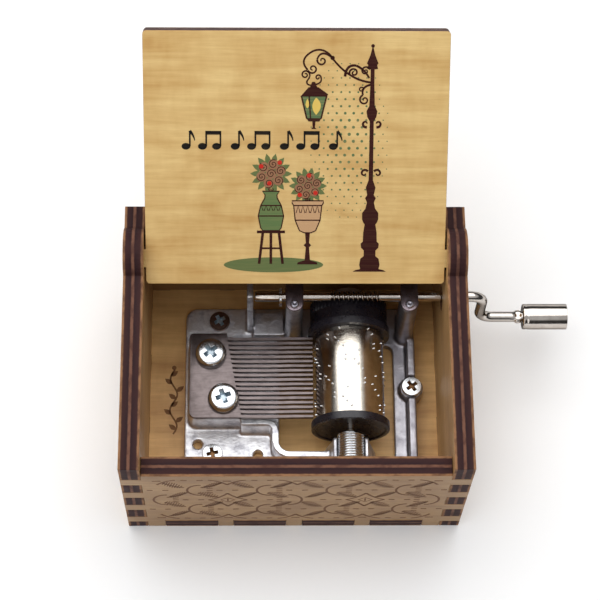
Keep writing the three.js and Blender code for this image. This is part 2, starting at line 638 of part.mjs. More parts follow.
// Helical teeth that follow the worm's lead, then the smooth drum and spigot before them.
function wormWheel() {
  const leadSlope = PITCH / (2 * Math.PI * WORM_PITCH_RADIUS);
  const degreesPerMm = leadSlope / WHEEL_PITCH_RADIUS / RAD;
  const options = { depth: WHEEL_FACE, steps: 3, bevelEnabled: false };
  const teeth = new THREE.ExtrudeGeometry(wheelOutline(), options);
  teeth.translate(0, 0, -WHEEL_FACE / 2);
  alignTo(twist(teeth, degreesPerMm), 'y');
  teeth.translate(CYL_X, SHAFT_Y, CYL_Z);
  const centre = [CYL_X, 0, CYL_Z];
  const wheelFront = SHAFT_Y - WHEEL_FACE / 2;
  const drum = rod(CAP_RADIUS, 'y', CYL_REAR + 0.05, wheelFront, centre, 48);
  const flangeFront = CYL_REAR + 0.05;
  const flange = rod(REAR_FLANGE.radius, 'y', flangeFront, flangeFront + REAR_FLANGE.thickness,
    centre, 48);
  const spigotRadius = CYL_RADIUS - CYL_WALL - 0.05;
  const spigot = rod(spigotRadius, 'y', CYL_REAR - CAP_SPIGOT, CYL_REAR + 0.2, centre, 48);
  const bore = rod(ARBOR_RADIUS + 0.05, 'y', CYL_REAR - 5, ARBOR_REAR + OVER, centre, 16);
  return cut(join(toSolid(teeth), drum, flange, spigot), bore);
}

// ---------------------------------------------------------------- cylinder assembly

// Pins stand in tracks that line up with the teeth of the comb. Each track has its pins
// at angles spread by the golden angle, so no two tracks look alike.
function cylinderPins() {
  const goldenAngle = 137.5;
  const pins = [];
  for (let track = 0; track < TOOTH_COUNT; track += 1) {
    for (let i = 0; i < PINS_PER_TRACK; i += 1) {
      const angle = track * goldenAngle + i * 360 / PINS_PER_TRACK + 11 * i * i;
      const pin = new THREE.BoxGeometry(PIN_WIDTH, PIN_WIDTH, 2 * PIN_PROUD);
      pin.translate(0, combToothY(track), CYL_RADIUS);
      pin.rotateY(angle * RAD);
      pin.translate(CYL_X, 0, CYL_Z);
      pins.push(toSolid(pin));
    }
  }
  return pins;
}

function buildCylinder() {
  const centre = [CYL_X, 0, CYL_Z];
  const wall = tube(CYL_RADIUS, CYL_RADIUS - CYL_WALL, 'y', CYL_FRONT, CYL_REAR, centre, 64);
  add('cylinder', join(wall, ...cylinderPins()), NICKEL);
  add('worm_wheel', wormWheel(), BLACK_PLASTIC);

  const capFront = CYL_FRONT - CAP_THICKNESS;
  const disc = rod(CAP_RADIUS, 'y', capFront, CYL_FRONT - 0.05, centre, 48);
  const spigotRadius = CYL_RADIUS - CYL_WALL - 0.05;
  const spigot = rod(spigotRadius, 'y', CYL_FRONT - 0.2, CYL_FRONT + CAP_SPIGOT, centre, 48);
  const bore = rod(ARBOR_RADIUS + 0.05, 'y', capFront - OVER, CYL_FRONT + 5, centre, 16);
  add('cylinder_cap', cut(join(disc, spigot), bore), BLACK_PLASTIC);
  add('cylinder_arbor', rod(ARBOR_RADIUS, 'y', ARBOR_FRONT, ARBOR_REAR, centre, 16), NICKEL);
}

function buildBearings() {
  const centre = [CYL_X, 0, CYL_Z];
  const bore = ARBOR_RADIUS + RUNNING_GAP;
  add('front_bearing_bush', tube(BUSH_RADIUS, bore, 'y', BUSH_FRONT, BUSH_REAR, centre), ZINC);
  const rearBush = tube(REAR_BUSH_RADIUS, bore, 'y', REAR_LUG.front - 0.1, PLATE.rear + 0.1, centre);
  add('rear_bearing_bush', rearBush, NICKEL);
}

// ---------------------------------------------------------------- crankshaft and knob

// The bent end of the crankshaft, from inside the right panel to the end of the knob's pin.
class CrankPath extends THREE.CurvePath {
  constructor() {
    super();
    const pinZ = SHAFT_Z - CRANK_THROW;
    const point = (x, z) => new THREE.Vector3(x, SHAFT_Y, z);
    const bend = (a, corner, b) => new THREE.QuadraticBezierCurve3(a, corner, b);
    this.add(new THREE.LineCurve3(point(BEND_START, SHAFT_Z),
      point(CRANK_X - BEND_RADIUS, SHAFT_Z)));
    this.add(bend(point(CRANK_X - BEND_RADIUS, SHAFT_Z), point(CRANK_X, SHAFT_Z),
      point(CRANK_X, SHAFT_Z - BEND_RADIUS)));
    this.add(new THREE.LineCurve3(point(CRANK_X, SHAFT_Z - BEND_RADIUS),
      point(CRANK_X, pinZ + BEND_RADIUS)));
    this.add(bend(point(CRANK_X, pinZ + BEND_RADIUS), point(CRANK_X, pinZ),
      point(CRANK_X + BEND_RADIUS, pinZ)));
    this.add(new THREE.LineCurve3(point(CRANK_X + BEND_RADIUS, pinZ), point(PIN_START + 1, pinZ)));
  }
}

function crankBend() {
  const section = new THREE.Shape();
  section.absarc(0, 0, SHAFT_RADIUS, 0, 360 * RAD);
  const options = { steps: 30, extrudePath: new CrankPath(), bevelEnabled: false, curveSegments: 6 };
  return toSolid(new THREE.ExtrudeGeometry(section, options));
}

function crankshaft() {
  const onShaft = [0, SHAFT_Y, SHAFT_Z];
  const wormLeft = WORM_CENTRE_X - WORM_LENGTH / 2;
  const wormRight = WORM_CENTRE_X + WORM_LENGTH / 2;
  const core = (WORM_PITCH_RADIUS - WORM_DEDENDUM) * 0.6; // hidden inside the worm
  const straight = turned([
    [0, SHAFT_LEFT], [SHAFT_RADIUS - 0.2, SHAFT_LEFT], [SHAFT_RADIUS, SHAFT_LEFT + 0.2],
    [SHAFT_RADIUS, CLIP_X - 0.05], [GROOVE_RADIUS, CLIP_X - 0.05],
    [GROOVE_RADIUS, CLIP_X + CLIP_THICKNESS + 0.05],
    [SHAFT_RADIUS, CLIP_X + CLIP_THICKNESS + 0.05],
    [SHAFT_RADIUS, wormLeft], [core, wormLeft], [core, wormRight],
    [SHAFT_RADIUS, wormRight], [SHAFT_RADIUS, BEND_START + 1], [0, BEND_START + 1],
  ], 'x', onShaft, 16);
  const pinZ = SHAFT_Z - CRANK_THROW;
  const headLeft = KNOB_LEFT + KNOB_END_WALL + 0.1;
  const pin = turned([
    [0, PIN_START], [SHAFT_RADIUS, PIN_START], [SHAFT_RADIUS, CRIMP.left],
    [SHAFT_RADIUS + CRIMP.proud, CRIMP.left + 0.3], [SHAFT_RADIUS + CRIMP.proud, CRIMP.right],
    [SHAFT_RADIUS, KNOB_LEFT - 0.1], [SHAFT_RADIUS, headLeft], [PIN_HEAD.radius, headLeft],
    [PIN_HEAD.radius, headLeft + PIN_HEAD.thickness], [0, headLeft + PIN_HEAD.thickness + 0.2],
  ], 'x', [0, SHAFT_Y, pinZ], 16);
  return join(straight, worm(), crankBend(), pin);
}

// A thin spring clip with a mouth that snaps over the shaft's groove.
function shaftClip() {
  const ring = tube(CLIP_RADIUS, GROOVE_RADIUS + 0.05, 'x', CLIP_X, CLIP_X + CLIP_THICKNESS,
    [0, SHAFT_Y, SHAFT_Z]);
  const mouthHalf = 0.6;
  const mouth = block([CLIP_X - OVER, CLIP_X + OVER], [SHAFT_Y - mouthHalf, SHAFT_Y + mouthHalf],
    [SHAFT_Z, SHAFT_Z + 3]);
  return cut(ring, mouth);
}

function crankKnob() {
  const right = KNOB_LEFT + KNOB_LENGTH;
  const inner = KNOB_RADIUS - KNOB_WALL;
  const bore = SHAFT_RADIUS + 0.08;
  const profile = [
    [bore, KNOB_LEFT], [KNOB_RADIUS - 0.3, KNOB_LEFT], [KNOB_RADIUS, KNOB_LEFT + 0.3],
    [KNOB_RADIUS, right - 0.2], [KNOB_RADIUS - 0.2, right], [inner, right],
    [inner, KNOB_LEFT + KNOB_END_WALL], [bore, KNOB_LEFT + KNOB_END_WALL], [bore, KNOB_LEFT],
  ];
  return turned(profile, 'x', [0, SHAFT_Y, SHAFT_Z - CRANK_THROW], 32);
}

// ---------------------------------------------------------------- assembly

buildBox();
add('bedplate', bedplate(), CASTING);
add('comb', comb(), SPRING_STEEL);
buildFasteners();
buildCylinder();
buildBearings();
add('crankshaft', crankshaft(), NICKEL);
add('shaft_clip', shaftClip(), ZINC);
add('crank_knob', crankKnob(), NICKEL);

export default model;
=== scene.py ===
"""Looks of a hand-cranked music box: plywood case, printed lid and pinned-cylinder movement.

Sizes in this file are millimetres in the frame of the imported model; objects are in metres.
"""
import contextlib
import json
from math import cos, dist, hypot, pi, radians, sin

import bmesh
import bpy
from mathutils import Matrix, Vector


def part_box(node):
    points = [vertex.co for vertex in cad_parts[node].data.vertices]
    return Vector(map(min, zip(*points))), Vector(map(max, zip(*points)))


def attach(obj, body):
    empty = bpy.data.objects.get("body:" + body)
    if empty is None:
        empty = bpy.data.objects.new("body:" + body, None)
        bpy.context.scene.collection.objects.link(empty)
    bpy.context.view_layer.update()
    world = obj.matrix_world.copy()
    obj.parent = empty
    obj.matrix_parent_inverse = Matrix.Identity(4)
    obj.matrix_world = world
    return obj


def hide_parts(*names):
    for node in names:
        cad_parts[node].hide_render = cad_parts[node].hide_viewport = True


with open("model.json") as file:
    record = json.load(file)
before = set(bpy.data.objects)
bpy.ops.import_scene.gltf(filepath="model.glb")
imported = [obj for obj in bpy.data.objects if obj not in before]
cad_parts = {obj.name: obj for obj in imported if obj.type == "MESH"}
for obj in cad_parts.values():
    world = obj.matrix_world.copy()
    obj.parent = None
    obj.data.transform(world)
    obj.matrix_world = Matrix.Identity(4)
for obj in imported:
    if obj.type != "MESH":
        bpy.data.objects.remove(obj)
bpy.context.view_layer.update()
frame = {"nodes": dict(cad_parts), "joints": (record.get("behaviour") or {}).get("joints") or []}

MM = 0.001
NODES = frame["nodes"]
PIVOT = {joint["name"]: Vector(joint["pos_m"]) / MM for joint in frame["joints"]}
X, Y, Z = Vector((1, 0, 0)), Vector((0, 1, 0)), Vector((0, 0, 1))
# For each axis: the two directions across it, then the axis itself, right-handed.
AXES = {"x": (Y, Z, X), "y": (Z, X, Y), "z": (X, Y, Z)}
TURN = 2 * pi


def box_mm(node):
    low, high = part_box(node)
    return low / MM, high / MM


PLY = (box_mm("back_panel")[1] - box_mm("back_panel")[0]).y
FLOOR_TOP = box_mm("bottom_panel")[1].z
LID_ANGLE = radians(39.5)  # of the open lid above the horizontal
LID_UP = Vector((0, cos(LID_ANGLE), sin(LID_ANGLE)))
LID_OUT = Vector((0, -sin(LID_ANGLE), cos(LID_ANGLE)))
LID_UNDERSIDE = PIVOT["lid_hinge"] - LID_OUT * PLY / 2
LID_TOP = PIVOT["lid_hinge"] + LID_OUT * PLY / 2


# ---- meshes


def add_object(name, data):
    obj = bpy.data.objects.new(name, data)
    bpy.context.scene.collection.objects.link(obj)
    return obj


def make_object(name, vertices, faces, merge=True):
    """A mesh object from points in mm, with its normals outward. Merging closes the poles."""
    mesh = bpy.data.meshes.new(name)
    mesh.from_pydata([Vector(v) * MM for v in vertices], [], faces)
    obj = add_object(name, mesh)
    with editing(obj) as bm:
        if merge:
            bmesh.ops.remove_doubles(bm, verts=bm.verts, dist=1e-7)
    return obj


@contextlib.contextmanager
def editing(obj):
    """Opens the object's mesh as a bmesh, and turns its normals outward at the end."""
    bm = bmesh.new()
    bm.from_mesh(obj.data)
    yield bm
    bmesh.ops.recalc_face_normals(bm, faces=bm.faces)
    bm.to_mesh(obj.data)
    bm.free()


def blend(a, b, share):
    return [p + (q - p) * share for p, q in zip(a, b)]


def interpolate(table, place):
    """The value at a place in a table of (place, value) pairs with rising places."""
    for (near, before), (far, after) in zip(table, table[1:]):
        if place < far:
            return before + (after - before) * max(place - near, 0) / (far - near)
    return table[-1][1]


def rounded(points, radius, closed=True, steps=3):
    """The outline with its corners rounded. An open outline keeps its two ends."""
    smooth = []
    for i, point in enumerate(points):
        if not closed and i in (0, len(points) - 1):
            smooth.append(list(point))
            continue
        before, after = points[i - 1], points[(i + 1) % len(points)]
        start = blend(point, before, min(radius / dist(point, before), 0.45))
        end = blend(point, after, min(radius / dist(point, after), 0.45))
        for k in range(steps + 1):
            t = k / steps
            smooth.append(blend(blend(start, point, t), blend(point, end, t), t))
    return smooth


def skin(faces, first, rings, sides, closed=False, ends=True):
    """Adds the faces between rings of points that follow each other from index first. A
    closed skin joins its last ring to its first; an open one gets a face at each end."""
    for i in range(rings if closed else rings - 1):
        here, there = first + i * sides, first + (i + 1) % rings * sides
        for k in range(sides):
            turn = (k + 1) % sides
            faces.append([here + k, here + turn, there + turn, there + k])
    if ends and not closed:
        last = first + (rings - 1) * sides
        faces += [[first + k for k in range(sides)], [last + k for k in range(sides)]]


def ring(centre, side, up, radius, count):
    """Points round a centre. The radius is a number or a function of the angle."""
    points = []
    for k in range(count):
        angle = TURN * k / count
        reach = radius(angle) if callable(radius) else radius
        points.append(centre + (side * cos(angle) + up * sin(angle)) * reach)
    return points


def revolve(name, profile, axis, centre, segments):
    """Turns [radius, distance] points about an axis through centre. The profile starts and
    ends on the axis, or is a closed loop that stays clear of it."""
    side, up, along = AXES[axis]
    vertices = []
    for radius, distance in profile:
        vertices += ring(Vector(centre) + along * distance, side, up, radius, segments)
    faces = []
    skin(faces, 0, len(profile), segments, closed=profile[0][0] > 0, ends=False)
    return make_object(name, vertices, faces)


def extrude(name, outline, low, high, directions=AXES["z"], origin=(0, 0, 0)):
    """A closed outline in the first two directions, extruded along the third."""
    side, up, along = directions
    vertices = [Vector(origin) + side * a + up * b + along * level
                for level in (low, high) for a, b in outline]
    faces = []
    skin(faces, 0, 2, len(outline))
    return make_object(name, vertices, faces)


def bevel(obj, width, segments):
    """Rounds every edge that is sharper than 30 degrees."""
    limit = radians(30)
    with editing(obj) as bm:
        edges = [e for e in bm.edges if e.is_manifold and e.calc_face_angle() > limit]
        bmesh.ops.bevel(bm, geom=edges, offset=width * MM, segments=segments, profile=0.5,
                        affect="EDGES", clamp_overlap=True)
    return obj


def apply_modifiers(obj):
    graph = bpy.context.evaluated_depsgraph_get()
    mesh = bpy.data.meshes.new_from_object(obj.evaluated_get(graph))
    obj.modifiers.clear()
    obj.data = mesh
    return obj


def cut(obj, tools):
    """Cuts the tools out of the object, and removes them."""
    for tool in tools:
        modifier = obj.modifiers.new("cut", "BOOLEAN")
        modifier.operation, modifier.object, modifier.solver = "DIFFERENCE", tool, "EXACT"
    apply_modifiers(obj)
    for tool in tools:
        bpy.data.objects.remove(tool)
    return obj


def copy_node(node, name):
    """A copy of a CAD node's mesh as flat faces without the triangles' inner edges."""
    obj = add_object(name, NODES[node].data.copy())
    with editing(obj) as bm:
        bmesh.ops.remove_doubles(bm, verts=bm.verts, dist=2e-6)
        bmesh.ops.dissolve_limit(bm, angle_limit=radians(1), verts=bm.verts, edges=bm.edges)
    return obj


def finish_piece(obj, body, material, replaces=(), smooth=32):
    obj.data.materials.clear()
    obj.data.materials.append(material)
    obj.data.shade_smooth()
    obj.data.set_sharp_from_angle(angle=radians(smooth))
    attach(obj, body)
    if replaces:
        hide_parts(*replaces)
    return obj


# ---- shader helpers


def rgb(red, green, blue):
    """A linear colour from one as it is seen, each part from 0 to 255."""
    return tuple(((c / 255 + 0.055) / 1.055) ** 2.4 if c > 10 else c / 3294.6
                 for c in (red, green, blue)) + (1.0,)


class Nodes:
    """A node tree with short ways to add to it. An input is a number, a colour, a vector or
    another node's output."""

    def __init__(self, owner):
        owner.use_nodes = True
        self.tree = owner.node_tree

    def add(self, kind, inputs=(), **settings):
        node = self.tree.nodes.new(kind)
        for key, value in settings.items():
            setattr(node, key, value)
        for key, value in dict(inputs).items():
            self.feed(node.inputs[key], value)
        return node

    def feed(self, socket, value):
        if isinstance(value, bpy.types.NodeSocket):
            self.tree.links.new(value, socket)
        else:
            socket.default_value = value

    def ramp(self, value, stops):
        node = self.add("ShaderNodeValToRGB", {"Fac": value})
        elements = node.color_ramp.elements
        while len(elements) < len(stops):
            elements.new(0.5)
        for element, (position, colour) in zip(elements, stops):
            element.position, element.color = position, colour
        return node.outputs["Color"]

    def maths(self, operation, *values):
        return self.add("ShaderNodeMath", dict(enumerate(values)), operation=operation).outputs[0]

    def total(self, *terms):
        """The sum of (value, weight) pairs."""
        result = 0.0
        for value, weight in terms:
            result = self.maths("MULTIPLY_ADD", value, weight, result)
        return result

    def vector(self, operation, *values):
        node = self.add("ShaderNodeVectorMath", dict(enumerate(values)), operation=operation)
        return node.outputs["Value" if operation == "DOT_PRODUCT" else "Vector"]

    def noise(self, vector, *scales, detail=3.0, roughness=0.55, distortion=0.0):
        """Noise with one scale for every direction, or with three."""
        scales = scales * 3 if len(scales) == 1 else scales
        inputs = {"Vector": self.vector("MULTIPLY", vector, scales), "Scale": 1.0,
                  "Detail": detail, "Roughness": roughness, "Distortion": distortion}
        return self.add("ShaderNodeTexNoise", inputs).outputs["Fac"]

    def spread(self, value, low, high, to_low=0.0, to_high=1.0):
        """The value's range low to high, mapped smoothly to another range."""
        inputs = {"Value": value, "From Min": low, "From Max": high,
                  "To Min": to_low, "To Max": to_high}
        node = self.add("ShaderNodeMapRange", inputs, interpolation_type="SMOOTHSTEP")
        return node.outputs["Result"]

    def mix(self, share, a, b):
        inputs = {0: share, 6: a, 7: b}
        return self.add("ShaderNodeMix", inputs, data_type="RGBA").outputs[2]


class Shader(Nodes):
    """A Principled material. Its place is in mm."""

    def __init__(self, name, colour, roughness, metallic=0.0):
        self.material = bpy.data.materials.new(name)
        super().__init__(self.material)
        self.bsdf = self.tree.nodes["Principled BSDF"]
        self.set("Base Color", colour)
        self.set("Roughness", roughness)
        self.set("Metallic", metallic)
        coordinates = self.add("ShaderNodeTexCoord")
        per_mm = (1 / MM, 1 / MM, 1 / MM)
        self.place = self.vector("MULTIPLY", coordinates.outputs["Object"], per_mm)
        self.normal = coordinates.outputs["Normal"]

    def set(self, name, value):
        self.feed(self.bsdf.inputs[name], value)

    def bump(self, height, depth, strength):
        """Raises the surface by height times depth, in mm."""
        inputs = {"Height": height, "Distance": depth * MM, "Strength": strength}
        self.set("Normal", self.add("ShaderNodeBump", inputs).outputs[0])


# ---- wood


BURNT = rgb(58, 34, 33)
BURNT_DEEP = rgb(42, 24, 27)
CUT_PLY = rgb(114, 78, 62)
CUT_PLY_WARM = rgb(146, 106, 74)


def plywood(name, origin, directions, light, dark, seed):
    """Five-layer plywood. directions are along the grain, across it, and through the panel
    from origin, so that faces show grain and cut edges show the burnt layers."""
    shader = Shader(name, light, 0.45)
    from_origin = shader.vector("SUBTRACT", shader.place, origin)
    along, across, depth = (shader.vector("DOT_PRODUCT", from_origin, d) for d in directions)
    inputs = {0: shader.maths("ADD", along, seed * 37.0), 1: across, 2: depth}
    wood = shader.add("ShaderNodeCombineXYZ", inputs).outputs[0]
    fibres = shader.noise(wood, 0.2, 5.0, 5.0, detail=2.0)
    ragged = shader.noise(wood, 0.9, 0.9, 0.3, detail=4.0)
    scorch = shader.noise(wood, 0.35, 0.35, 0.6)
    face = wood_face(shader, wood, fibres, light, dark)
    edge = wood_edge(shader, depth, ragged, scorch)

    facing = shader.vector("DOT_PRODUCT", shader.normal, directions[2])
    on_face = shader.spread(shader.maths("ABSOLUTE", facing), 0.8, 0.93)
    shader.set("Base Color", shader.mix(on_face, edge, face))
    gloss = shader.total((fibres, 0.18), (1.0, 0.34))
    rough_edge = shader.total((scorch, 0.25), (1.0, 0.5))
    roughness = shader.add("ShaderNodeMix", {0: on_face, 2: rough_edge, 3: gloss})
    shader.set("Roughness", roughness.outputs[0])
    shader.set("Specular IOR Level", shader.spread(on_face, 0.0, 1.0, 0.12, 0.4))
    shader.bump(shader.total((fibres, 0.7), (ragged, 1.0)), 0.05, 0.6)
    return shader.material


def wood_face(shader, wood, fibres, light, dark):
    figure = shader.noise(wood, 0.045, 0.12, 0.1, distortion=0.8)
    ripple = shader.noise(wood, 0.5, 0.16, 0.1, detail=2.0)
    streaks = shader.noise(wood, 0.05, 0.75, 0.5, detail=4.0, roughness=0.62, distortion=0.25)
    pores = shader.noise(wood, 0.45, 7.0, 7.0, detail=1.0)
    grain = shader.total((figure, 0.5), (streaks, 0.36), (ripple, 0.14))
    middle = tuple((a + b) / 2 for a, b in zip(light, dark))
    face = shader.ramp(grain, [(0.36, dark), (0.49, middle), (0.62, light)])
    face = shader.mix(shader.spread(fibres, 0.35, 0.7, 0.0, 0.16), face, dark)
    return shader.mix(shader.spread(pores, 0.66, 0.78, 0.0, 0.35), face, dark)


def wood_edge(shader, depth, ragged, scorch):
    """The layers from one face of the panel to the other, scorched in places."""
    layer = shader.total((depth, 1 / PLY), (ragged, 0.05), (1.0, -0.025))
    layers = shader.ramp(layer, [
        (0.0, CUT_PLY_WARM), (0.09, CUT_PLY_WARM), (0.14, BURNT), (0.4, BURNT_DEEP),
        (0.45, CUT_PLY), (0.54, CUT_PLY), (0.59, BURNT_DEEP), (0.86, BURNT),
        (0.92, CUT_PLY_WARM), (1.0, CUT_PLY_WARM),
    ])
    return shader.mix(shader.spread(scorch, 0.42, 0.66, 0.0, 0.6), layers, BURNT)


def box_panels():
    """The six plywood panels stay as CAD nodes, with broken edges and their own grain."""
    tan, brown = rgb(166, 130, 85), rgb(136, 101, 63)
    inner_light, inner_dark = rgb(202, 164, 112), rgb(166, 124, 78)
    panels = {
        "bottom_panel": ((X, Y, Z), rgb(238, 194, 128), rgb(192, 144, 86)),
        "front_panel": ((X, Z, Y), tan, brown),
        "back_panel": ((X, Z, Y), tan, brown),
        "left_side_panel": ((Y, Z, X), inner_light, inner_dark),
        "right_side_panel": ((Y, Z, X), inner_light, inner_dark),
        "lid": ((X, LID_UP, LID_OUT), rgb(227, 195, 131), rgb(195, 152, 87)),
    }
    for seed, (node, (directions, light, dark)) in enumerate(panels.items()):
        origin = LID_UNDERSIDE if node == "lid" else box_mm(node)[0]
        material = plywood("ply_" + node, origin, directions, light, dark, seed)
        break_edges(NODES[node], 0.13)
        NODES[node].data.materials.clear()
        NODES[node].data.materials.append(material)


def break_edges(obj, width):
    """Modifiers that merge a CAD node's triangles into flat faces and round its edges."""
    obj.modifiers.new("weld", "WELD").merge_threshold = 2e-6
    flat = obj.modifiers.new("flat", "DECIMATE")
    flat.decimate_type, flat.angle_limit = "DISSOLVE", radians(5)
    edge = obj.modifiers.new("edge", "BEVEL")
    edge.width, edge.segments, edge.limit_method = width * MM, 2, "ANGLE"
    edge.angle_limit = radians(40)


# ---- metals and plastics


def cast_zinc():
    shader = Shader("cast_zinc", rgb(196, 196, 200), 0.4, 1.0)
    cloud = shader.noise(shader.place, 0.45, detail=5.0, roughness=0.6)
    spots = shader.noise(shader.place, 2.4)
    metal = shader.ramp(cloud, [
        (0.32, rgb(184, 184, 192)), (0.5, rgb(226, 226, 230)), (0.68, rgb(240, 240, 242)),
    ])
    # Painted shade: the casting grows darker towards the rear and the right, where the open lid
    # shades it.
    to_rear_right = shader.vector("DOT_PRODUCT", shader.place, (1.0, 0.7, 0.0))
    rear_right_painted_shade = shader.spread(to_rear_right, -6.0, 16.0, 0.0, 0.75)
    shader.set("Base Color", shader.mix(rear_right_painted_shade, metal, rgb(146, 142, 150)))
    shader.set("Roughness", shader.spread(cloud, 0.3, 0.7, 0.52, 0.34))
    shader.bump(shader.total((cloud, 1.0), (spots, 0.35)), 0.16, 0.8)
    return shader.material


def steel(name, colour, darker, roughness, grain=(0.4, 9.0, 9.0), depth=0.02, rim=1.0):
    """Ground or plated steel, with fine marks drawn out along the grain. Its last setting, under 1,
    darkens the reflections seen at a slant: painted shade on them, for a dark surround."""
    shader = Shader(name, colour, roughness, 1.0)
    shader.set("Specular Tint", (rim, rim, rim, 1.0))
    marks = shader.noise(shader.place, *grain)
    stain = shader.noise(shader.place, 0.7, detail=4.0)
    tone = shader.mix(shader.spread(stain, 0.35, 0.75, 0.0, 0.6), colour, darker)
    shader.set("Base Color", shader.mix(shader.spread(marks, 0.4, 0.75, 0.0, 0.35), tone, darker))
    rough = shader.spread(marks, 0.3, 0.75, roughness * 0.8, roughness * 1.3)
    shader.set("Roughness", rough)
    shader.bump(marks, depth, 0.5)
    return shader.material


def black_plastic():
    shader = Shader("black_plastic", rgb(30, 27, 33), 0.3)
    grain = shader.noise(shader.place, 6.0)
    dust = shader.noise(shader.place, 1.1, detail=4.0)
    shader.set("Base Color", shader.mix(shader.spread(dust, 0.5, 0.8, 0.0, 0.35),
                                        rgb(27, 24, 31), rgb(52, 47, 56)))
    shader.set("Roughness", shader.spread(dust, 0.3, 0.75, 0.24, 0.42))
    shader.bump(grain, 0.02, 0.5)
    return shader.material


def ink(name, colour, cover):
    """Print on the lid: the wood's grain shows through it a little."""
    shader = Shader(name, colour, 0.5)
    fibres = shader.noise(shader.place, 0.15, 3.5, 3.5)
    faint = blend(rgb(214, 182, 124), colour, cover)
    shader.set("Base Color", shader.mix(shader.spread(fibres, 0.35, 0.75), colour, faint))
    shader.set("Roughness", shader.spread(fibres, 0.3, 0.7, 0.5, 0.65))
    shader.set("Specular IOR Level", 0.15)
    return shader.material


def scorched(name, colour, lighter):
    """Shallow laser engraving, uneven as the wood burns."""
    shader = Shader(name, colour, 0.7)
    burn = shader.noise(shader.place, 1.2, 3.0, 3.0, detail=4.0)
    shader.set("Base Color", shader.ramp(burn, [(0.35, colour), (0.68, lighter)]))
    shader.bump(burn, 0.04, 0.7)
    return shader.material


# ---- cylinder


CYL = PIVOT["cylinder_spin"]
CYL_AXIS = (CYL.x, 0, CYL.z)
DRUM_RADIUS = 6.6
PIN_PROUD, PIN_RADIUS = 0.3, 0.2
TRACKS, PINS_PER_TRACK = 18, 6
COMB_FRONT = box_mm("comb")[0].y
TOOTH_PITCH, TOOTH_WIDTH = 0.94, 0.62


def comb_tooth_y(track):
    """The middle of a tooth, counted from the comb's front edge."""
    return COMB_FRONT + TOOTH_WIDTH / 2 + track * TOOTH_PITCH


def cylinder(nickel):
    low, high = box_mm("cylinder")
    inner = DRUM_RADIUS - 0.7
    profile = rounded([[inner, low.y], [DRUM_RADIUS, low.y], [DRUM_RADIUS, high.y],
                       [inner, high.y]], 0.12)
    sleeve = revolve("cylinder_sleeve", profile, "y", CYL_AXIS, 160)
    finish_piece(sleeve, "cylinder", nickel, ["cylinder"])


def cylinder_pins(steel_bright):
    """Round-ended pins in tracks that line up with the teeth of the comb."""
    sides = 10
    profile = [(-0.25, 1), (PIN_PROUD - 0.1, 1), (PIN_PROUD - 0.03, 0.75), (PIN_PROUD, 0.35)]
    vertices, faces = [], []
    for track in range(TRACKS):
        for i in range(PINS_PER_TRACK):
            angle = radians(track * 137.5 + i * 360 / PINS_PER_TRACK + 11 * i * i)
            outward = Vector((sin(angle), 0, cos(angle)))
            across = Vector((cos(angle), 0, -sin(angle)))
            foot = Vector((CYL.x, comb_tooth_y(track), CYL.z)) + outward * DRUM_RADIUS
            skin(faces, len(vertices), len(profile), sides)
            for height, share in profile:
                vertices += ring(foot + outward * height, Y, across, PIN_RADIUS * share, sides)
    pins = make_object("cylinder_pins", vertices, faces)
    finish_piece(pins, "cylinder", steel_bright, smooth=50)


def cylinder_caps(plastic):
    low, high = box_mm("cylinder_cap")
    front, rear, rim = low.y, box_mm("cylinder")[0].y - 0.05, 7.5
    bore, spigot = 0.85, 5.85
    outline = rounded([
        [bore, front + 0.2], [rim - 0.9, front + 0.2], [rim - 0.7, front], [rim, front],
        [rim, rear], [spigot, rear], [spigot, high.y], [bore, high.y],
    ], 0.1)
    cap = revolve("cylinder_front_cap", outline, "y", CYL_AXIS, 128)
    finish_piece(cap, "cylinder", plastic, ["cylinder_cap"])
    wheel = bevel(copy_node("worm_wheel", "worm_wheel_teeth"), 0.04, 1)
    finish_piece(wheel, "cylinder", plastic, ["worm_wheel"], smooth=25)


def arbor_and_bushes(nickel, zinc):
    low, high = box_mm("cylinder_arbor")
    radius = 0.8
    profile = rounded([[0, low.y + 0.25], [0.35, low.y], [radius, low.y], [radius, high.y],
                       [0, high.y]], 0.15, closed=False)
    arbor = revolve("arbor", profile, "y", CYL_AXIS, 32)
    finish_piece(arbor, "cylinder", nickel, ["cylinder_arbor"])

    low, high = box_mm("rear_bearing_bush")
    outer, bore = (high.x - low.x) / 2, radius + 0.06
    sleeve = rounded([[bore, low.y], [outer, low.y], [outer, high.y], [bore, high.y]], 0.12)
    bush = revolve("rear_bush", sleeve, "y", CYL_AXIS, 40)
    finish_piece(bush, "root", nickel, ["rear_bearing_bush"])
    threaded_bush(zinc, bore)


def threaded_bush(zinc, bore):
    """The front bush is a sleeve with a thread outside, whose ends are chamfered."""
    low, high = box_mm("front_bearing_bush")
    outer, pitch, depth, chamfer, sides = (high.x - low.x) / 2, 0.5, 0.2, 0.35, 64
    side, up, along = AXES["y"]
    steps = round((high.y - low.y) / pitch * 10)
    vertices = []
    for i in range(steps + 1):
        y = low.y + (high.y - low.y) * i / steps
        taper = max(0, chamfer - min(y - low.y, high.y - y))

        def thread(angle):
            wave = (y / pitch - angle / TURN) % 1
            return outer - max(depth * max(0, 1 - abs(wave - 0.5) * 2.6), taper)

        vertices += ring(Vector(CYL_AXIS) + along * y, side, up, thread, sides)
    for y in (high.y, low.y):
        vertices += ring(Vector(CYL_AXIS) + along * y, side, up, bore, sides)
    faces = []
    skin(faces, 0, steps + 3, sides, closed=True)
    bush = make_object("front_bush", vertices, faces)
    finish_piece(bush, "root", zinc, ["front_bearing_bush"], smooth=50)


# ---- crankshaft and knob


SHAFT = PIVOT["crank_spin"]
SHAFT_LEFT = box_mm("crankshaft")[0].x
SHAFT_RADIUS = 1.0
CRANK_X, CRANK_THROW, BEND_RADIUS = 36.4, 10.1, 2.6
WORM = (7.0, 16.2)  # from and to, along the shaft
WORM_LEAD = pi * 0.29
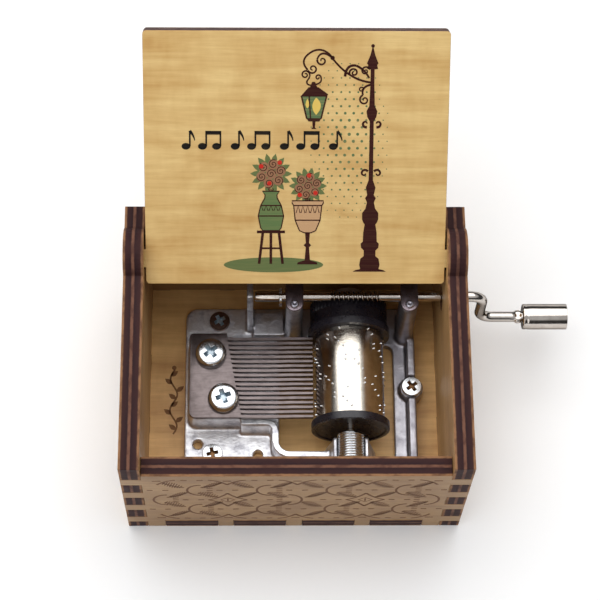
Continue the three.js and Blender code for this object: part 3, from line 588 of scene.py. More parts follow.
# The thread's radius at distances from its crest, along the shaft.
THREAD = [(0.1, 1.02), (0.17, 0.8), (0.25, 0.52)]
CLIP_GROOVE = (-2.95, -2.35)
PIN_HEAD_LEFT = 45.95


def worm_radius(x, angle):
    """One thread, whose crest points down at the wheel above the cylinder's middle."""
    crest = -TURN / 4 + TURN * (x - CYL.x) / WORM_LEAD
    turn = (angle - crest + pi) % TURN - pi
    return interpolate(THREAD, abs(turn) / TURN * WORM_LEAD)


def shaft_radius(distance, angle):
    if distance < SHAFT_LEFT + 0.25:
        return SHAFT_RADIUS - 0.2 + 0.8 * (distance - SHAFT_LEFT)
    if CLIP_GROOVE[0] < distance < CLIP_GROOVE[1]:
        return 0.8
    if WORM[0] < distance < WORM[1]:
        return worm_radius(distance, angle)
    return SHAFT_RADIUS


def shaft_stations():
    """(distance, point, side, up) along the straight shaft and round both bends, and the
    distance at their end. The distance is X on the straight part, then the rod's length."""
    straight = [SHAFT_LEFT, SHAFT_LEFT + 0.1, SHAFT_LEFT + 0.25, WORM[0] - 0.01]
    straight[3:3] = [groove + step for groove in CLIP_GROOVE for step in (-0.01, 0.01)]
    steps = round((WORM[1] - WORM[0]) / WORM_LEAD * 16)
    straight += [WORM[0] + (WORM[1] - WORM[0]) * i / steps for i in range(steps + 1)]
    straight += [WORM[1] + 0.01, 20, 26, 32, CRANK_X - BEND_RADIUS]
    stations = [(x, Vector((x, SHAFT.y, SHAFT.z)), Y, Z) for x in straight]
    distance, bend, steps = straight[-1], BEND_RADIUS * TURN / 4, 12
    corners = [(CRANK_X - BEND_RADIUS, SHAFT.z - BEND_RADIUS, 90, 0),
               (CRANK_X + BEND_RADIUS, SHAFT.z - CRANK_THROW + BEND_RADIUS, 180, 270)]
    for centre_x, centre_z, start, end in corners:
        outer = 1 if end < start else -1
        for i in range(steps + 1):
            angle = radians(start + (end - start) * i / steps)
            radial = Vector((cos(angle), 0, sin(angle)))
            point = Vector((centre_x, SHAFT.y, centre_z)) + radial * BEND_RADIUS
            stations.append((distance + bend * i / steps, point, Y, radial * outer))
        distance += bend
    return stations, distance


def crankshaft(nickel):
    stations, distance = shaft_stations()
    # Two ears are pinched out of the pin just before the knob, to keep it in place.
    pinch = {43.4: 0, 43.7: 0.25, 44.0: 0.35, 44.4: 0.35, 44.7: 0.2, 44.95: 0}
    head = {PIN_HEAD_LEFT: 0.4, 46.0: 0.5, 46.35: 0.5, 46.5: 0.42, 46.6: 0.2, 46.65: -0.1}
    for x in [40, 42.5, *pinch, PIN_HEAD_LEFT - 0.01, *head]:
        stations.append((distance + x, Vector((x, SHAFT.y, SHAFT.z - CRANK_THROW)), Y, Z))

    vertices, faces, sides = [], [], 32
    for along, point, side, up in stations:
        x = round(along - distance, 2)

        def radius(angle):
            if along < distance:
                return shaft_radius(along, angle)
            return SHAFT_RADIUS + pinch.get(x, 0) * cos(2 * angle) + head.get(x, 0)

        vertices += ring(point, side, up, radius, sides)
    skin(faces, 0, len(stations), sides)
    shaft = make_object("crank_rod", vertices, faces)
    finish_piece(shaft, "crank", nickel, ["crankshaft"], smooth=40)


def shaft_clip(zinc):
    """A spring clip with three inner lugs and a mouth, in the shaft's groove."""
    low, high = box_mm("shaft_clip")
    outer, inner, lug, mouth = 1.9, 1.25, 0.86, radians(32)
    outside, inside = [], []
    steps = 40
    for i in range(steps + 1):
        angle = radians(90) + mouth + (TURN - 2 * mouth) * i / steps
        direction = (cos(angle), sin(angle))
        share = i / steps
        on_lug = min(abs(share - s) for s in (0, 0.5, 1)) < 0.07
        outside.append([c * outer for c in direction])
        inside.append([c * (lug if on_lug else inner) for c in direction])
    outline = outside + inside[::-1]
    clip = extrude("spring_clip", outline, low.x, high.x, AXES["x"], (0, SHAFT.y, SHAFT.z))
    finish_piece(bevel(clip, 0.06, 1), "crank", zinc, ["shaft_clip"])


def crank_knob(nickel):
    """A hollow turned sleeve, closed at the crank's end and open at the other."""
    low, high = box_mm("crank_knob")
    outer = (high.z - low.z) / 2
    inner, bore = outer - 0.4, SHAFT_RADIUS + 0.08
    outline = rounded([
        [bore, low.x], [outer - 0.1, low.x], [outer, low.x + 0.35], [outer - 0.08, low.x + 0.8],
        [outer, low.x + 1.1], [outer, high.x], [inner, high.x], [inner, low.x + 0.8],
        [bore, low.x + 0.8],
    ], 0.14)
    knob = revolve("knob_sleeve", outline, "x", (0, SHAFT.y, PIVOT["knob_spin"].z), 96)
    finish_piece(knob, "knob", nickel, ["crank_knob"])


# ---- comb and bedplate


COMB_SCREWS = {"rear": ((-16.1, 4.2), 38), "front": ((-13.6, -5.0), 20)}


def comb(steel_ground):
    """A steel plate whose teeth thin towards their roots, on a slanting root line."""
    low, high = box_mm("comb")
    last = comb_tooth_y(TRACKS - 1) + TOOTH_WIDTH / 2
    root_front, root_rear = -10.3, -13.2
    outline = [[low.x, low.y], [root_front + 0.2, low.y], [root_rear + 0.2, last],
               [root_rear + 0.2, high.y], [low.x, high.y]]
    front_corner = rounded(outline, 1.5, steps=5)[:6]
    rear_corner = rounded(outline, 0.8, steps=5)[-6:]
    plate = extrude("comb_plate", front_corner + outline[1:4] + rear_corner, low.z, high.z)
    bevel(plate, 0.1, 2)
    hole = [[0, low.z - 1], [1.6, low.z - 1], [1.6, high.z + 1], [0, high.z + 1]]
    cut(plate, [revolve("hole", hole, "z", (*place, 0), 24) for place, _ in COMB_SCREWS.values()])
    finish_piece(plate, "root", steel_ground, ["comb"])

    vertices, faces = [], []
    for track in range(TRACKS):
        y = comb_tooth_y(track)
        root = root_front + (root_rear - root_front) * track / (TRACKS - 1)
        add_tooth(vertices, faces, y, root, high.x, low.z, high.z)
    teeth = make_object("comb_teeth", vertices, faces)
    finish_piece(bevel(teeth, 0.05, 1), "root", steel_ground, smooth=40)


def add_tooth(vertices, faces, y, root, tip, bottom, top):
    """One tooth: full thickness at the root, ground thinner, then full again at the tip."""
    half, length = TOOTH_WIDTH / 2, tip - root
    levels = [(-0.3, 0), (0.02, 0.01), (0.09, 0.2), (0.45, 0.24), (0.62, 0.12), (0.72, 0.02),
              (1, 0)]
    first = len(vertices)
    for share, thinner in levels:
        inside = 0.06 if share < 0 else 0  # the root end is buried in the plate
        x = root - 0.35 if share < 0 else root + length * share
        waist = half - (0.07 if share == 1 else 0)
        low, high = bottom + inside, top - thinner - inside
        vertices += [(x, y - waist, low), (x, y + waist, low), (x, y + waist, high),
                     (x, y - waist, high)]
    skin(faces, first, len(levels), 4)


def bedplate(zinc):
    """The casting: the CAD shape with the soft edges and fillets of die casting."""
    casting = copy_node("bedplate", "bedplate_casting")
    remesh = casting.modifiers.new("remesh", "REMESH")
    remesh.mode, remesh.voxel_size = "VOXEL", 0.25 * MM
    soften = casting.modifiers.new("soften", "SMOOTH")
    soften.factor, soften.iterations = 0.5, 3
    apply_modifiers(casting)
    finish_piece(casting, "root", zinc, ["bedplate"], smooth=80)


# ---- screws, straps and rivets


def cross_recess(place, reach, width, depth, turn):
    """A tapered cross, to be cut out of a screw's head from its top."""
    x, y, top = place
    levels = ((0.3, reach * 1.06, width * 1.1), (-depth, reach * 0.35, width * 0.6))
    arms = []
    for angle in (turn, turn + 90):
        direction = Matrix.Rotation(radians(angle), 3, "Z")
        vertices, faces = [], []
        for level, half, thick in levels:
            for a, b in ((-1, -1), (1, -1), (1, 1), (-1, 1)):
                corner = direction @ Vector((a * half, b * thick / 2, 0))
                vertices.append((x + corner.x, y + corner.y, top + level))
        skin(faces, 0, len(levels), 4)
        arms.append(make_object("arm", vertices, faces))
    return arms


# A head's section as shares of its radius and height, from its middle to the rim.
PAN_DOME = [(0, 1), (0.45, 0.975), (0.72, 0.925), (0.82, 0.86), (0.91, 0.72), (0.965, 0.52),
            (0.99, 0.3)]
FLAT_DOME = [(0, 1), (0.5, 0.985), (0.92, 0.93), (0.98, 0.8), (1, 0.6)]


def paint_recess_shade(body, centre, head, seat, size, material):
    """Gives the faces inside the cross their own, darker material: painted shade in the recess."""
    body.data.materials.append(material)
    for face in body.data.polygons:
        place = face.center / MM
        share = (place.xy - centre).length / head
        level = (place.z - seat) / size["height"]
        if share < 0.75 and 0.2 < level < interpolate(size["dome"], share) - 0.03:
            face.material_index = 1


def screw(name, node, turn, material, recess_shade_material, size):
    """A screw in the place of its CAD node, with a domed head and a cross recess."""
    low, high = box_mm(node)
    x, y = (low.x + high.x) / 2, (low.y + high.y) / 2
    head = (high.x - low.x) / 2
    shank, h, top = size["shank"], size["height"], high.z
    seat = top - h
    profile = [[0, low.z], [shank * 0.5, low.z], [shank, low.z + 1], [shank, seat],
               [head - 0.15, seat], [head, seat + 0.1 * h]]
    profile += [[head * share, seat + h * level] for share, level in size["dome"][::-1]]
    body = revolve(name, profile, "z", (x, y, 0), 72)
    recess = cross_recess((x, y, top), head * size["reach"], head * size["arm"], 0.62 * h, turn)
    cut(body, recess)
    finish_piece(body, "root", material, [node], smooth=30)
    paint_recess_shade(body, Vector((x, y)), head, seat, size, recess_shade_material)


def screws(zinc, rear_screw_shade, recess, brown):
    # recess and brown are painted shade inside the crosses.
    pan = {"height": 1.9, "shank": 1.5, "reach": 0.56, "arm": 0.32, "dome": PAN_DOME}
    for side, (_, turn) in COMB_SCREWS.items():
        screw("comb_screw_" + side + "_head", "comb_screw_" + side, turn, zinc, recess, pan)
    small = {"height": 1.1, "shank": 0.95, "reach": 0.72, "arm": 0.4, "dome": FLAT_DOME}
    turns = {"front_left": 12, "right": 35}
    for place, turn in turns.items():
        screw("wood_screw_" + place, "frame_screw_" + place, turn, zinc, brown, small)
    # The rear-left screw's dark brown head is painted shade, for the dark rear of the box where it
    # sits.
    screw("wood_screw_rear_left", "frame_screw_rear_left", 30, rear_screw_shade, recess, small)


def shaft_strap(side, material):
    """A pressed strap over the shaft, with a round front end."""
    node = "shaft_strap_" + side
    low, high = box_mm(node)
    x, half = (low.x + high.x) / 2, (high.x - low.x) / 2
    outline = [[x + half, high.y], [x - half, high.y]]
    for k in range(15):
        angle = pi * k / 14
        outline.append([x - half * cos(angle), low.y + half - half * sin(angle)])
    strap = bevel(extrude("strap_" + side, outline, low.z, high.z), 0.2, 3)
    finish_piece(strap, "root", material, [node])
    return x


def strap_rivet(side, x, material):
    """The headed rivet that holds a strap, with a dished top."""
    node = "strap_rivet_" + side
    low, high = box_mm(node)
    y, head, seat = (low.y + high.y) / 2, (high.x - low.x) / 2, high.z - 0.6
    profile = rounded([[0, low.z], [0.5, low.z], [0.5, seat], [head, seat],
                       [head, seat + 0.35], [head * 0.7, high.z], [0.2, high.z - 0.04],
                       [0, high.z - 0.12]], 0.12, closed=False)
    rivet = revolve("rivet_" + side, profile, "z", (x, y, 0), 40)
    finish_piece(rivet, "root", material, [node])


# ---- flat artwork


INK_THICKNESS = 0.012


class Artwork:
    """Flat shapes of one colour in a plane, gathered into one thin solid mesh."""

    def __init__(self, origin, directions, level=0):
        self.origin, self.directions = Vector(origin), directions
        self.level = level * INK_THICKNESS
        self.shapes, self.ribbons = [], []

    def add(self, outline):
        self.shapes.append(outline)
        return self

    def disc(self, x, y, radius, stretch=1.0, sides=20):
        points = ring(Vector((x, y)), Vector((stretch, 0)), Vector((0, 1)), radius, sides)
        return self.add(points)

    def stroke(self, points, start, end=None):
        """A ribbon through points whose width runs from start to end. If its ends meet it
        closes on itself."""
        end = start if end is None else end
        closed = dist(points[0], points[-1]) < 1e-6
        points = points[:-1] if closed else points
        count = len(points)
        pairs = []
        for i, (x, y) in enumerate(points):
            ahead = points[(i + 1) % count if closed else min(i + 1, count - 1)]
            behind = points[i - 1 if closed else max(i - 1, 0)]
            dx, dy = ahead[0] - behind[0], ahead[1] - behind[1]
            half = (start + (end - start) * i / (count - 1)) / 2 / (hypot(dx, dy) or 1)
            pairs.append(((x - dy * half, y + dx * half), (x + dy * half, y - dx * half)))
        self.ribbons.append((pairs, closed))
        return self

    def arc(self, start, pull, end, wide, narrow):
        return self.stroke(curve(start, pull, end), wide, narrow)

    def scroll(self, x, y, outer, start, turns, wide, narrow, inner=0.15):
        return self.stroke(spiral(x, y, outer, inner, start, turns), wide, narrow)

    def outline_of(self, levels, x):
        """A shape that is symmetrical about x, from (height, half width) pairs."""
        right = [(x + half, height) for height, half in levels]
        left = [(x - half, height) for height, half in reversed(levels)]
        return self.add(right + left)

    def leaf(self, x, y, angle, length, width):
        c, s = cos(radians(angle)), sin(radians(angle))
        half = [(0, 0), (0.15, 0.3), (0.4, 0.5), (0.7, 0.36), (1, 0)]
        points = [(a * length, b * width) for a, b in half]
        points += [(a * length, -b * width) for a, b in half[-2:0:-1]]
        return self.add([(x + a * c - b * s, y + a * s + b * c) for a, b in points])

    def build(self, name, body, material, slot):
        vertices, faces = [], []
        side, up, out = self.directions
        low, high = -0.02, self.level + INK_THICKNESS

        def place(point, level):
            return self.origin + side * point[0] + up * point[1] + out * level

        for outline in self.shapes:
            skin(faces, len(vertices), 2, len(outline))
            vertices += [place(point, level) for level in (low, high) for point in outline]
        for pairs, closed in self.ribbons:
            skin(faces, len(vertices), len(pairs), 4, closed)
            for left, right in pairs:
                section = ((left, low), (right, low), (right, high), (left, high))
                vertices += [place(point, level) for point, level in section]
        obj = make_object(name, vertices, faces, merge=False)
        obj.data.materials.append(material)
        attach(obj, body)


def curve(start, pull, end, steps=10):
    """Points of a quadratic curve."""
    return [blend(blend(start, pull, k / steps), blend(pull, end, k / steps), k / steps)
            for k in range(steps + 1)]


def spiral(x, y, outer, inner, start, turns, steps=22):
    """Points of a spiral from its outer end, at start degrees, inward."""
    points = []
    for k in range(steps + 1):
        share = k / steps
        radius = outer + (inner - outer) * share
        angle = radians(start) + TURN * turns * share
        points.append((x + radius * cos(angle), y + radius * sin(angle)))
    return points


def lid_art(level):
    return Artwork(LID_TOP, (X, LID_UP, LID_OUT), level)


def print_lid(art, name, material):
    art.build("print_" + name, "lid", material, "lid_plywood")


def lamp_post(maroon):
    """A street lamp of a plain old pattern: turned foot, slim shaft, spear and scroll arm."""
    art = lid_art(2)
    x = 13.8
    art.outline_of([
        (-2.5, 3.1), (-2.2, 2.6), (-2.0, 1.7), (-1.2, 1.9), (0.0, 1.7), (0.5, 1.1), (1.6, 1.1),
        (2.1, 1.6), (2.9, 1.7), (3.3, 1.3), (5.0, 1.25), (6.6, 1.0), (7.0, 1.3), (7.6, 1.5),
        (8.8, 1.5), (9.6, 0.9), (10.8, 0.65), (11.6, 1.0), (12.2, 0.6), (13.6, 0.9),
        (15.0, 0.4), (26.0, 0.36), (26.8, 0.8), (27.9, 1.0), (28.9, 0.5), (33.0, 0.36),
        (35.6, 0.36), (35.7, 1.0), (36.4, 0.8), (36.7, 1.05), (38.2, 0.45), (39.6, 0.1),
    ], x)
    art.disc(x, 39.9, 0.33)
    scrolls = ((spiral(1.2, 16.3, 0.75, 0.2, 150, -0.9, 12), 0.45),
               (spiral(1.1, 25.6, 0.7, 0.2, 250, 0.8, 12), 0.5))
    for side in (-1, 1):
        for points, width in scrolls:
            art.stroke([(x + side * out, height) for out, height in points], width, 0.25)
    scroll_arm(art, x)
    lamp_hook(art)
    print_lid(art, "lamp_post", maroon)


def scroll_arm(art, x):
    """The arm from the shaft to the hook, with scrolls above and below it."""
    art.arc((x - 0.2, 33.2), (9.6, 33.6), (6.5, 37.6), 0.4, 0.34)
    art.disc(6.5, 37.7, 0.4)
    art.arc((8.8, 34.3), (9.0, 36.6), (10.8, 36.3), 0.5, 0.42)
    art.arc((10.8, 36.3), (12.4, 35.6), (13.2, 34.0), 0.42, 0.36)
    art.scroll(10.4, 35.0, 0.85, 200, -1.3, 0.38, 0.24)
    art.scroll(12.5, 35.3, 0.85, 20, 1.3, 0.34, 0.22)
    art.arc((x - 0.3, 32.8), (11.7, 32.4), (12.1, 30.9), 0.4, 0.34)
    art.scroll(12.4, 30.0, 0.95, 110, 1.3, 0.36, 0.22)
    art.scroll(11.8, 31.9, 0.5, 10, 1.1, 0.28, 0.2, 0.12)


def lamp_hook(art):
    """The curl at the arm's end that the lantern hangs from."""
    art.arc((6.5, 37.7), (4.9, 39.8), (2.9, 38.9), 0.34, 0.34)
    art.arc((2.9, 38.9), (0.2, 37.4), (2.0, 35.5), 0.34, 0.34)
    art.arc((6.3, 37.9), (4.3, 39.3), (3.7, 37.4), 0.42, 0.3)
    art.arc((1.9, 35.3), (2.9, 34.6), (1.9, 33.5), 0.32, 0.26)
    art.arc((1.9, 33.5), (1.7, 32.6), (2.9, 32.7), 0.3, 0.26)
    art.arc((3.4, 32.8), (4.8, 33.1), (4.4, 34.2), 0.3, 0.26)
    art.scroll(2.9, 35.7, 0.9, 200, 1.2, 0.34, 0.24, 0.2)
    art.scroll(4.6, 37.2, 0.9, 170, 1.1, 0.36, 0.24)
    art.scroll(1.6, 34.6, 0.75, 60, 1.2, 0.32, 0.22)
    art.scroll(3.9, 34.1, 0.55, 0, 1.1, 0.3, 0.22, 0.12)


def lantern(inks):
    frame_art, glass, flame = lid_art(4), lid_art(1), lid_art(3)
    x = 3.2
    frame_art.add([(x - 2.5, 30.6), (x - 1.0, 32.3), (x + 0.8, 32.3), (x + 2.6, 31.0),
                   (x + 2.3, 30.6)])
    frame_art.outline_of([(32.2, 0.7), (33.3, 0.25)], x - 0.1)
    frame_art.outline_of([(26.0, 1.0), (26.6, 1.35)], x)
    frame_art.outline_of([(24.6, 0.5), (24.9, 0.2), (26.1, 0.3)], x)
    glass.add([(x - 2.3, 30.7), (x + 2.3, 30.7), (x + 1.3, 26.5), (x - 1.3, 26.5)])
    for side in (-1, 1):
        frame_art.stroke([(x + side * 2.3, 30.7), (x + side * 1.3, 26.5)], 0.28)
    frame_art.stroke([(x - 0.9, 30.7), (x - 0.6, 26.5)], 0.24)
    flame.add(curve((x + 0.4, 27.2), (x + 2.1, 29.0), (x + 0.4, 30.4))
              + curve((x + 0.4, 30.4), (x - 1.0, 28.8), (x + 0.4, 27.2))[1:-1])
    flame.leaf(x - 1.2, 28.4, 90, 1.8, 0.7)
    print_lid(frame_art, "lantern_frame", inks["maroon"])
    print_lid(glass, "lantern_glass", inks["green"])
    print_lid(flame, "lantern_flame", inks["yellow"])


def note(art, x, foot, flag=True):
    """A quaver, or a crotchet without its flag, with its head at foot."""
    head = 0.624
    stem, top = x + head * 1.15, foot + 3.5
    art.disc(x, foot + head, head, 1.3)
    art.stroke([(stem, foot + head), (stem, top)], 0.32)
    if flag:
        art.arc((stem, top), (x + 1.5, foot + 2.6), (x + 1.6, foot + 1.7), 0.55, 0.15)


def beamed_pair(art, x, foot):
    gap = 2.6
    left, right, top = x + 0.56, x + gap + 0.88, foot + 3.5
    for offset in (0, gap):
        note(art, x + offset, foot, flag=False)
    art.add([(left, top), (right, top), (right, top - 0.7), (left, top - 0.7)])


def row_of_notes(black):
    """Plain musical notes in the middle of the lid."""
    art = lid_art(2)
    foot, bar = 20.7, 9.0
    for i in range(4):
        note(art, bar * i - 20.2, foot)
    for i in range(3):
        beamed_pair(art, bar * i - 17.2, foot)
    print_lid(art, "notes", black)


def bouquet(leaves, stalks, blooms, x, y, radius, foot):
    """A round bunch: a ring of leaves, blooms over it, and stalks down to the pot at foot."""
    for k in range(14):
        angle = 360 * k / 14
        c, t = cos(radians(angle)), sin(radians(angle))
        leaves.leaf(x + 0.45 * radius * c, y + 0.45 * radius * t, angle, radius * 0.72, 1.15)
    leaves.disc(x, y, radius * 0.62, 1.0, 24)
    for k in range(7):
        spread = 0.0 if k == 6 else 0.56 * radius
        cx = x + spread * cos(TURN * k / 6 + 0.3)
        cy = y + spread * sin(TURN * k / 6 + 0.3)
        blooms.disc(cx, cy, 0.29 * radius)
        stalks.stroke(spiral(cx, cy, 0.27 * radius, 0.05, 60 * k, 1.7, 20), 0.15)
    for lean in (-0.4, 0, 0.4):
        stalks.stroke([(x + lean, foot + 0.6), (x + lean * 0.6, foot)], 0.22)


def potted_pair(inks):
    """Two flower pots side by side on an oval lawn, in the middle of the lower half: a tall
    vase on a stool and a wide cup on a tall stem."""
    vase_x, cup_x = -4.6, 2.2
    lawn, leaves, lines, blooms = lid_art(0), lid_art(1), lid_art(4), lid_art(3)
    lawn.disc(-4.1, -1.2, 1.45, 6.4, 48)
    print_lid(lawn, "lawn", inks["grass"])
    bouquet(leaves, lines, blooms, vase_x, 16.2, 3.3, 12.8)
    bouquet(leaves, lines, blooms, cup_x, 13.9, 3.0, 11.0)
    print_lid(leaves, "leaves", inks["grass"])
    print_lid(blooms, "blooms", inks["bark"])

    vase = [(5.4, 1.5), (5.9, 1.9), (8.2, 2.35), (10.2, 1.9), (11.6, 1.15), (12.2, 1.1),
            (12.9, 1.6)]
    cup = [(5.0, 0.6), (5.4, 1.5), (7.4, 2.3), (10.2, 2.6), (10.7, 2.9), (11.1, 2.9)]
    print_lid(lid_art(2).outline_of(vase, vase_x), "vase", inks["teal"])
    print_lid(lid_art(2).outline_of(cup, cup_x), "cup", inks["blush"])
    print_lid(pot_stands(vase_x, cup_x), "stand", inks["maroon"])
    pot_lines(lines, vase, vase_x)
    pot_lines(lines, cup, cup_x)
    print_lid(lines, "lines", inks["maroon"])

    berries = lid_art(5)
    for x, y in ((-6.4, 17.6), (-3.0, 18.3), (-4.9, 14.4), (0.7, 12.2), (3.6, 12.6), (2.4, 15.9)):
        berries.disc(x, y, 0.42)
    print_lid(berries, "berries", inks["red"])


def pot_stands(stool_x, stem_x):
    """A stool with three legs, and a turned stem on a round foot."""
    art = lid_art(2)
    art.outline_of([(4.9, 2.6), (5.4, 2.6)], stool_x)
    for lean in (-1, 0, 1):
        art.stroke([(stool_x + lean * 1.5, 5.0), (stool_x + lean * 2.2, -1.0)], 0.5)
    art.stroke([(stool_x - 1.8, 2.0), (stool_x + 1.8, 2.0)], 0.35)
    return art.outline_of([(-1.1, 1.9), (-0.7, 1.8), (-0.3, 0.5), (2.2, 0.3), (2.6, 0.7),
                           (3.0, 0.3), (5.0, 0.45)], stem_x)


def pot_lines(art, levels, x):
    """A pot's outline, and a zigzag band between its third and fourth levels."""
    right = [(x + half, height) for height, half in levels]
    left = [(x - half, height) for height, half in levels[::-1]]
    art.stroke([*right, *left, right[0]], 0.2)
    for height, half in levels[2:4]:
        art.stroke([(x - half, height), (x + half, height)], 0.22)
    (low, narrow), (high, _) = levels[2:4]
    middle, pitch = (low + high) / 2, narrow / 2.6
    for k in range(-2, 3):
        art.stroke([(x + (k - 0.4) * pitch, middle), (x + k * pitch, high),
                    (x + (k + 0.4) * pitch, middle)], 0.16)


def halftone(green):
    """A fading screen of dots behind the lamp."""
    art = lid_art(0)
    pitch = 1.55
    for row in range(24):
        for column in range(12):
            x = 0.4 + column * pitch + (row % 2) * pitch / 2
            y = 8.0 + row * pitch * 0.84
            near = hypot((x - 9.6) / 7.6, (y - 22.5) / 15.5)
            if near < 1:
                art.disc(x, y, 0.24 * (1.1 - near) + 0.08, sides=8)
    print_lid(art, "halftone", green)


def lid_print():
    # Each colour as it is seen, and how much of it covers the wood.
    colours = {
        "maroon": (52, 13, 12, 0.97), "green": (86, 112, 74, 0.75), "grass": (98, 112, 68, 0.94),
        "bark": (150, 108, 80, 0.94), "teal": (96, 118, 72, 0.94), "blush": (196, 156, 116, 0.94),
        "red": (196, 36, 28, 0.94), "yellow": (222, 190, 96, 0.94), "black": (14, 12, 12, 0.97),
    }
    inks = {name: ink("ink_" + name, rgb(*seen), cover) for name, (*seen, cover) in colours.items()}
    lamp_post(inks["maroon"])
    lantern(inks)
    row_of_notes(inks["black"])
    potted_pair(inks)
    halftone(inks["green"])


def front_engraving():
    """A lattice over the front panel: lozenges and arches by turns, with hatched leaves."""
    low, _ = box_mm("front_panel")
    art = Artwork((0, low.y, 0), (X, Z, -Y))
    left, right, bottom = -25.4, 25.8, 5.2
    step_x, step_z = 6.4, 5.85
    for row in range(5):
        z = bottom + row * step_z
        for column in range(9):
            x = left + column * step_x
            if (row + column) % 2:
                dash_pair(art, x, z)
                continue
            if row in (0, 4):
                crest(art, x, z, 1 if row == 0 else -1)
            elif column % 4 == 2 * (row // 2 % 2):
                lozenge(art, x, z)
            else:
                arch(art, x, z, -1 if column in (4, 8) else 1)
            for across in (-1, 1):
                if left < x + across * 3 < right and row < 4:
                    hatched_leaf(art, (x + across * 1.5, z + 1.6), (x + across * 5.4, z + 4.4))
    engraving = scorched("scorched_front", rgb(92, 55, 28), rgb(118, 78, 44))
    art.build("front_engraving", "root", engraving, "plywood")


def lozenge(art, x, z):
    """A small lozenge inside one with hollow sides."""
    small = [(x - 1.3, z), (x, z + 1.3), (x + 1.3, z), (x, z - 1.3), (x - 1.3, z)]
    art.stroke(small, 0.28)
    art.stroke([(x, z - 0.8), (x, z + 0.8)], 0.3)
    for across in (-1, 1):
        for up in (-1, 1):
            art.stroke(curve((x + across * 3.6, z), (x + across * 1.4, z + up * 1.2),
                             (x, z + up * 4.0), 8), 0.36, 0.5)


def arch(art, x, z, side):
    """A round arch that opens to one side, with three short dashes in it."""
    angles = [pi * k / 12 for k in range(13)]
    points = [(x + side * (1.6 - 2.6 * sin(a)), z - 3.1 * cos(a)) for a in angles]
    art.stroke(points, 0.45)
    for up in (-1, 0, 1):
        start = x + side * 2.6
        art.stroke([(start, z + up * 1.0), (start + side * 1.1, z + up * 1.3)], 0.4)


def crest(art, x, z, up):
    """Half a lozenge along the edge of the lattice, or a quarter at the panel's ends."""
    for across in (side for side in (-1, 1) if abs(x + side * 3.4) < 28):
        art.stroke(curve((x + across * 3.4, z - up * 0.2), (x + across * 1.2, z + up * 0.4),
                         (x, z + up * 2.6), 8), 0.4, 0.5)
    art.stroke([(x - 0.8, z + up * 0.4), (x + 0.8, z + up * 0.4)], 0.4)


def dash_pair(art, x, z):
    for across in (-1, 1):
        art.stroke([(x + across * 0.9, z), (x + across * 2.0, z + 0.1)], 0.42)


def hatched_leaf(art, start, tip):
    """A leaf drawn with slanting hatches and a curved stem."""
    dx, dz = tip[0] - start[0], tip[1] - start[1]
    for k in range(8):
        share = 0.16 + 0.11 * k
        half = 0.3 + 1.0 * sin(pi * (share - 0.05))
        x, z = start[0] + dx * share, start[1] + dz * share
        art.stroke([(x - 0.3, z - half), (x + 0.3, z + half)], 0.26)
    art.stroke(curve(start, (start[0] + dx * 0.5, start[1] + dz * 0.2), tip, 6), 0.35, 0.3)


def floor_ornament():
    """A small vine engraved in the floor, in the left bay."""
    art = Artwork((0, 0, FLOOR_TOP), (X, Y, Z))
    x, bottom, top = -23.6, -8.5, 5.0

    def sway(y):
        return x + 0.7 * sin((y - bottom) * 0.95)

    heights = [bottom + (top - bottom) * k / 40 for k in range(41)]
    art.stroke([(sway(y), y) for y in heights], 0.35)
    for k in range(8):
        y = bottom + 0.9 + k * 1.6
        side = 1 if k % 2 else -1
        art.leaf(sway(y), y, 90 - side * 52, 1.8, 1.0)
    art.disc(x, top + 0.4, 0.45)
    material = scorched("scorched_floor", rgb(112, 72, 36), rgb(136, 94, 52))
    art.build("floor_ornament", "root", material, "plywood")


# ---- stage


def camera():
    """A long lens above and in front of the box, turned and rolled a little."""
    turn = Matrix.Identity(4)
    for axis, degrees in (("Z", -3.15), ("X", 23.1), ("Z", 2.92)):
        turn = turn @ Matrix.Rotation(radians(degrees), 4, axis)
    data = bpy.data.cameras.new("camera")
    data.lens, data.sensor_width = 118.5, 36
    data.clip_start, data.clip_end = 0.01, 20
    obj = add_object("camera", data)
    obj.matrix_world = Matrix.Translation(Vector((-7.1, -136.0, 370.2)) * MM) @ turn
    bpy.context.scene.camera = obj


def area_light(name, place, width, depth, power):
    """A soft light at a place in metres, aimed at the box."""
    data = bpy.data.lights.new(name, "AREA")
    data.shape, data.size, data.size_y, data.energy = "RECTANGLE", width, depth, power
    obj = add_object(name, data)
    obj.location = place
    obj.rotation_mode = "QUATERNION"
    aim = Vector((0, 0, 0.02)) - Vector(place)
    obj.rotation_quaternion = aim.to_track_quat("-Z", "Y")


def sky():
    """Soft light from all round, brighter from above than from the sides."""
    world = bpy.data.worlds.new("studio")
    nodes = Nodes(world)
    direction = nodes.add("ShaderNodeTexCoord").outputs["Generated"]
    height = nodes.add("ShaderNodeSeparateXYZ", {0: direction}).outputs["Z"]
    stops = [(level, (grey, grey * 1.01, grey * 1.03, 1))
             for level, grey in ((0.48, 0.06), (0.66, 0.72))]
    background = nodes.tree.nodes["Background"]
    nodes.feed(background.inputs["Color"], nodes.ramp(height, stops))
    background.inputs["Strength"].default_value = 0.8
    bpy.context.scene.world = world


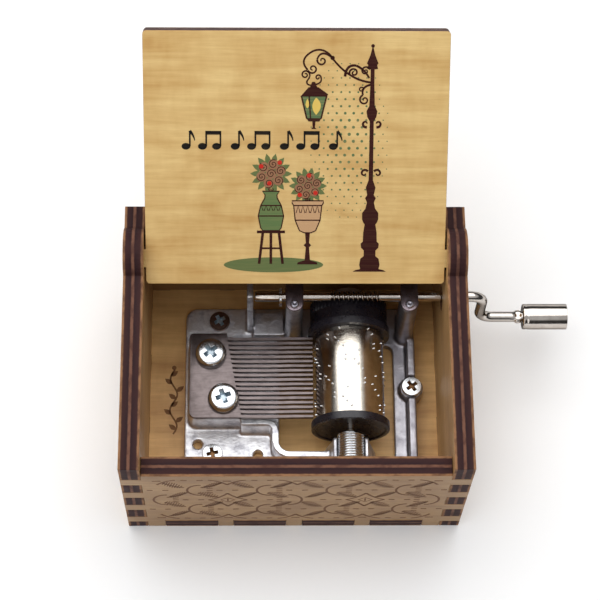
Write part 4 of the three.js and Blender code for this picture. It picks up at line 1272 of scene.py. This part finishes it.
def floor():
    size = 3000
    square = [(-size, -size, 0), (size, -size, 0), (size, size, 0), (-size, size, 0)]
    sheet = make_object("stage_floor", square, [[0, 1, 2, 3]])
    shader = Shader("stage_paper", rgb(252, 252, 252), 0.9)
    texture = shader.noise(shader.place, 0.8)
    shader.set("Base Color", shader.mix(texture, rgb(251, 251, 251), rgb(253, 253, 253)))
    sheet.data.materials.append(shader.material)


def studio():
    sky()
    area_light("overhead", (-0.05, 0.22, 0.64), 1.0, 0.9, 5.3)
    area_light("front_fill", (-0.4, -0.75, 0.4), 0.9, 0.7, 2.2)
    bpy.context.scene.view_settings.view_transform = "Standard"
    bpy.context.scene.view_settings.look = "None"
    floor()


def movement():
    zinc = cast_zinc()
    # The nickel's low rim setting paints shade on its reflections seen at a slant.
    nickel = steel("nickel_plate", rgb(208, 200, 192), rgb(180, 171, 164), 0.13,
                   (1.2, 1.2, 1.2), 0.01, rim=0.12)
    drum = steel("nickel_drum", rgb(222, 214, 202), rgb(190, 180, 166), 0.17,
                 (0.5, 12.0, 0.5), 0.02)
    ground = steel("ground_steel", rgb(117, 107, 106), rgb(90, 81, 80), 0.36, (0.5, 9.0, 9.0))
    bright = steel("zinc_plate", rgb(230, 232, 234), rgb(200, 202, 206), 0.2, (2.0, 2.0, 2.0), 0.006)
    # Painted shade: a dark brown steel for the rear-left screw, which sits in the dark at the rear.
    rear_screw_shade = steel("rear_screw_painted_shade", rgb(120, 96, 84), rgb(70, 52, 46), 0.34, (3.0, 3.0, 3.0))
    # Painted shade: the straps' steel is darkened for the lid's dark underside that their tops
    # reflect.
    dark = steel("strap_painted_shade", rgb(150, 138, 144), rgb(112, 100, 106), 0.34, (3.0, 3.0, 3.0))
    plastic = black_plastic()
    bedplate(zinc)
    comb(ground)
    cylinder(drum)
    cylinder_pins(bright)
    cylinder_caps(plastic)
    arbor_and_bushes(nickel, bright)
    crankshaft(nickel)
    shaft_clip(bright)
    crank_knob(nickel)
    # The two recess materials are painted shade inside the crosses, blue-grey and brown.
    screws(bright, rear_screw_shade, steel("recess_painted_shade_steel", rgb(190, 202, 210), rgb(136, 148, 156), 0.38),
           steel("recess_painted_shade_brown", rgb(140, 104, 72), rgb(90, 66, 46), 0.5))
    # Painted shade: the rivets are toned down for the same dark reflection of the lid.
    rivet_painted_shade = steel("rivet_painted_shade", rgb(186, 184, 194), rgb(140, 138, 150), 0.36)
    for side in ("left", "right"):
        strap_rivet(side, shaft_strap(side, dark), rivet_painted_shade)


camera()
studio()
box_panels()
movement()
lid_print()
front_engraving()
floor_ornament()
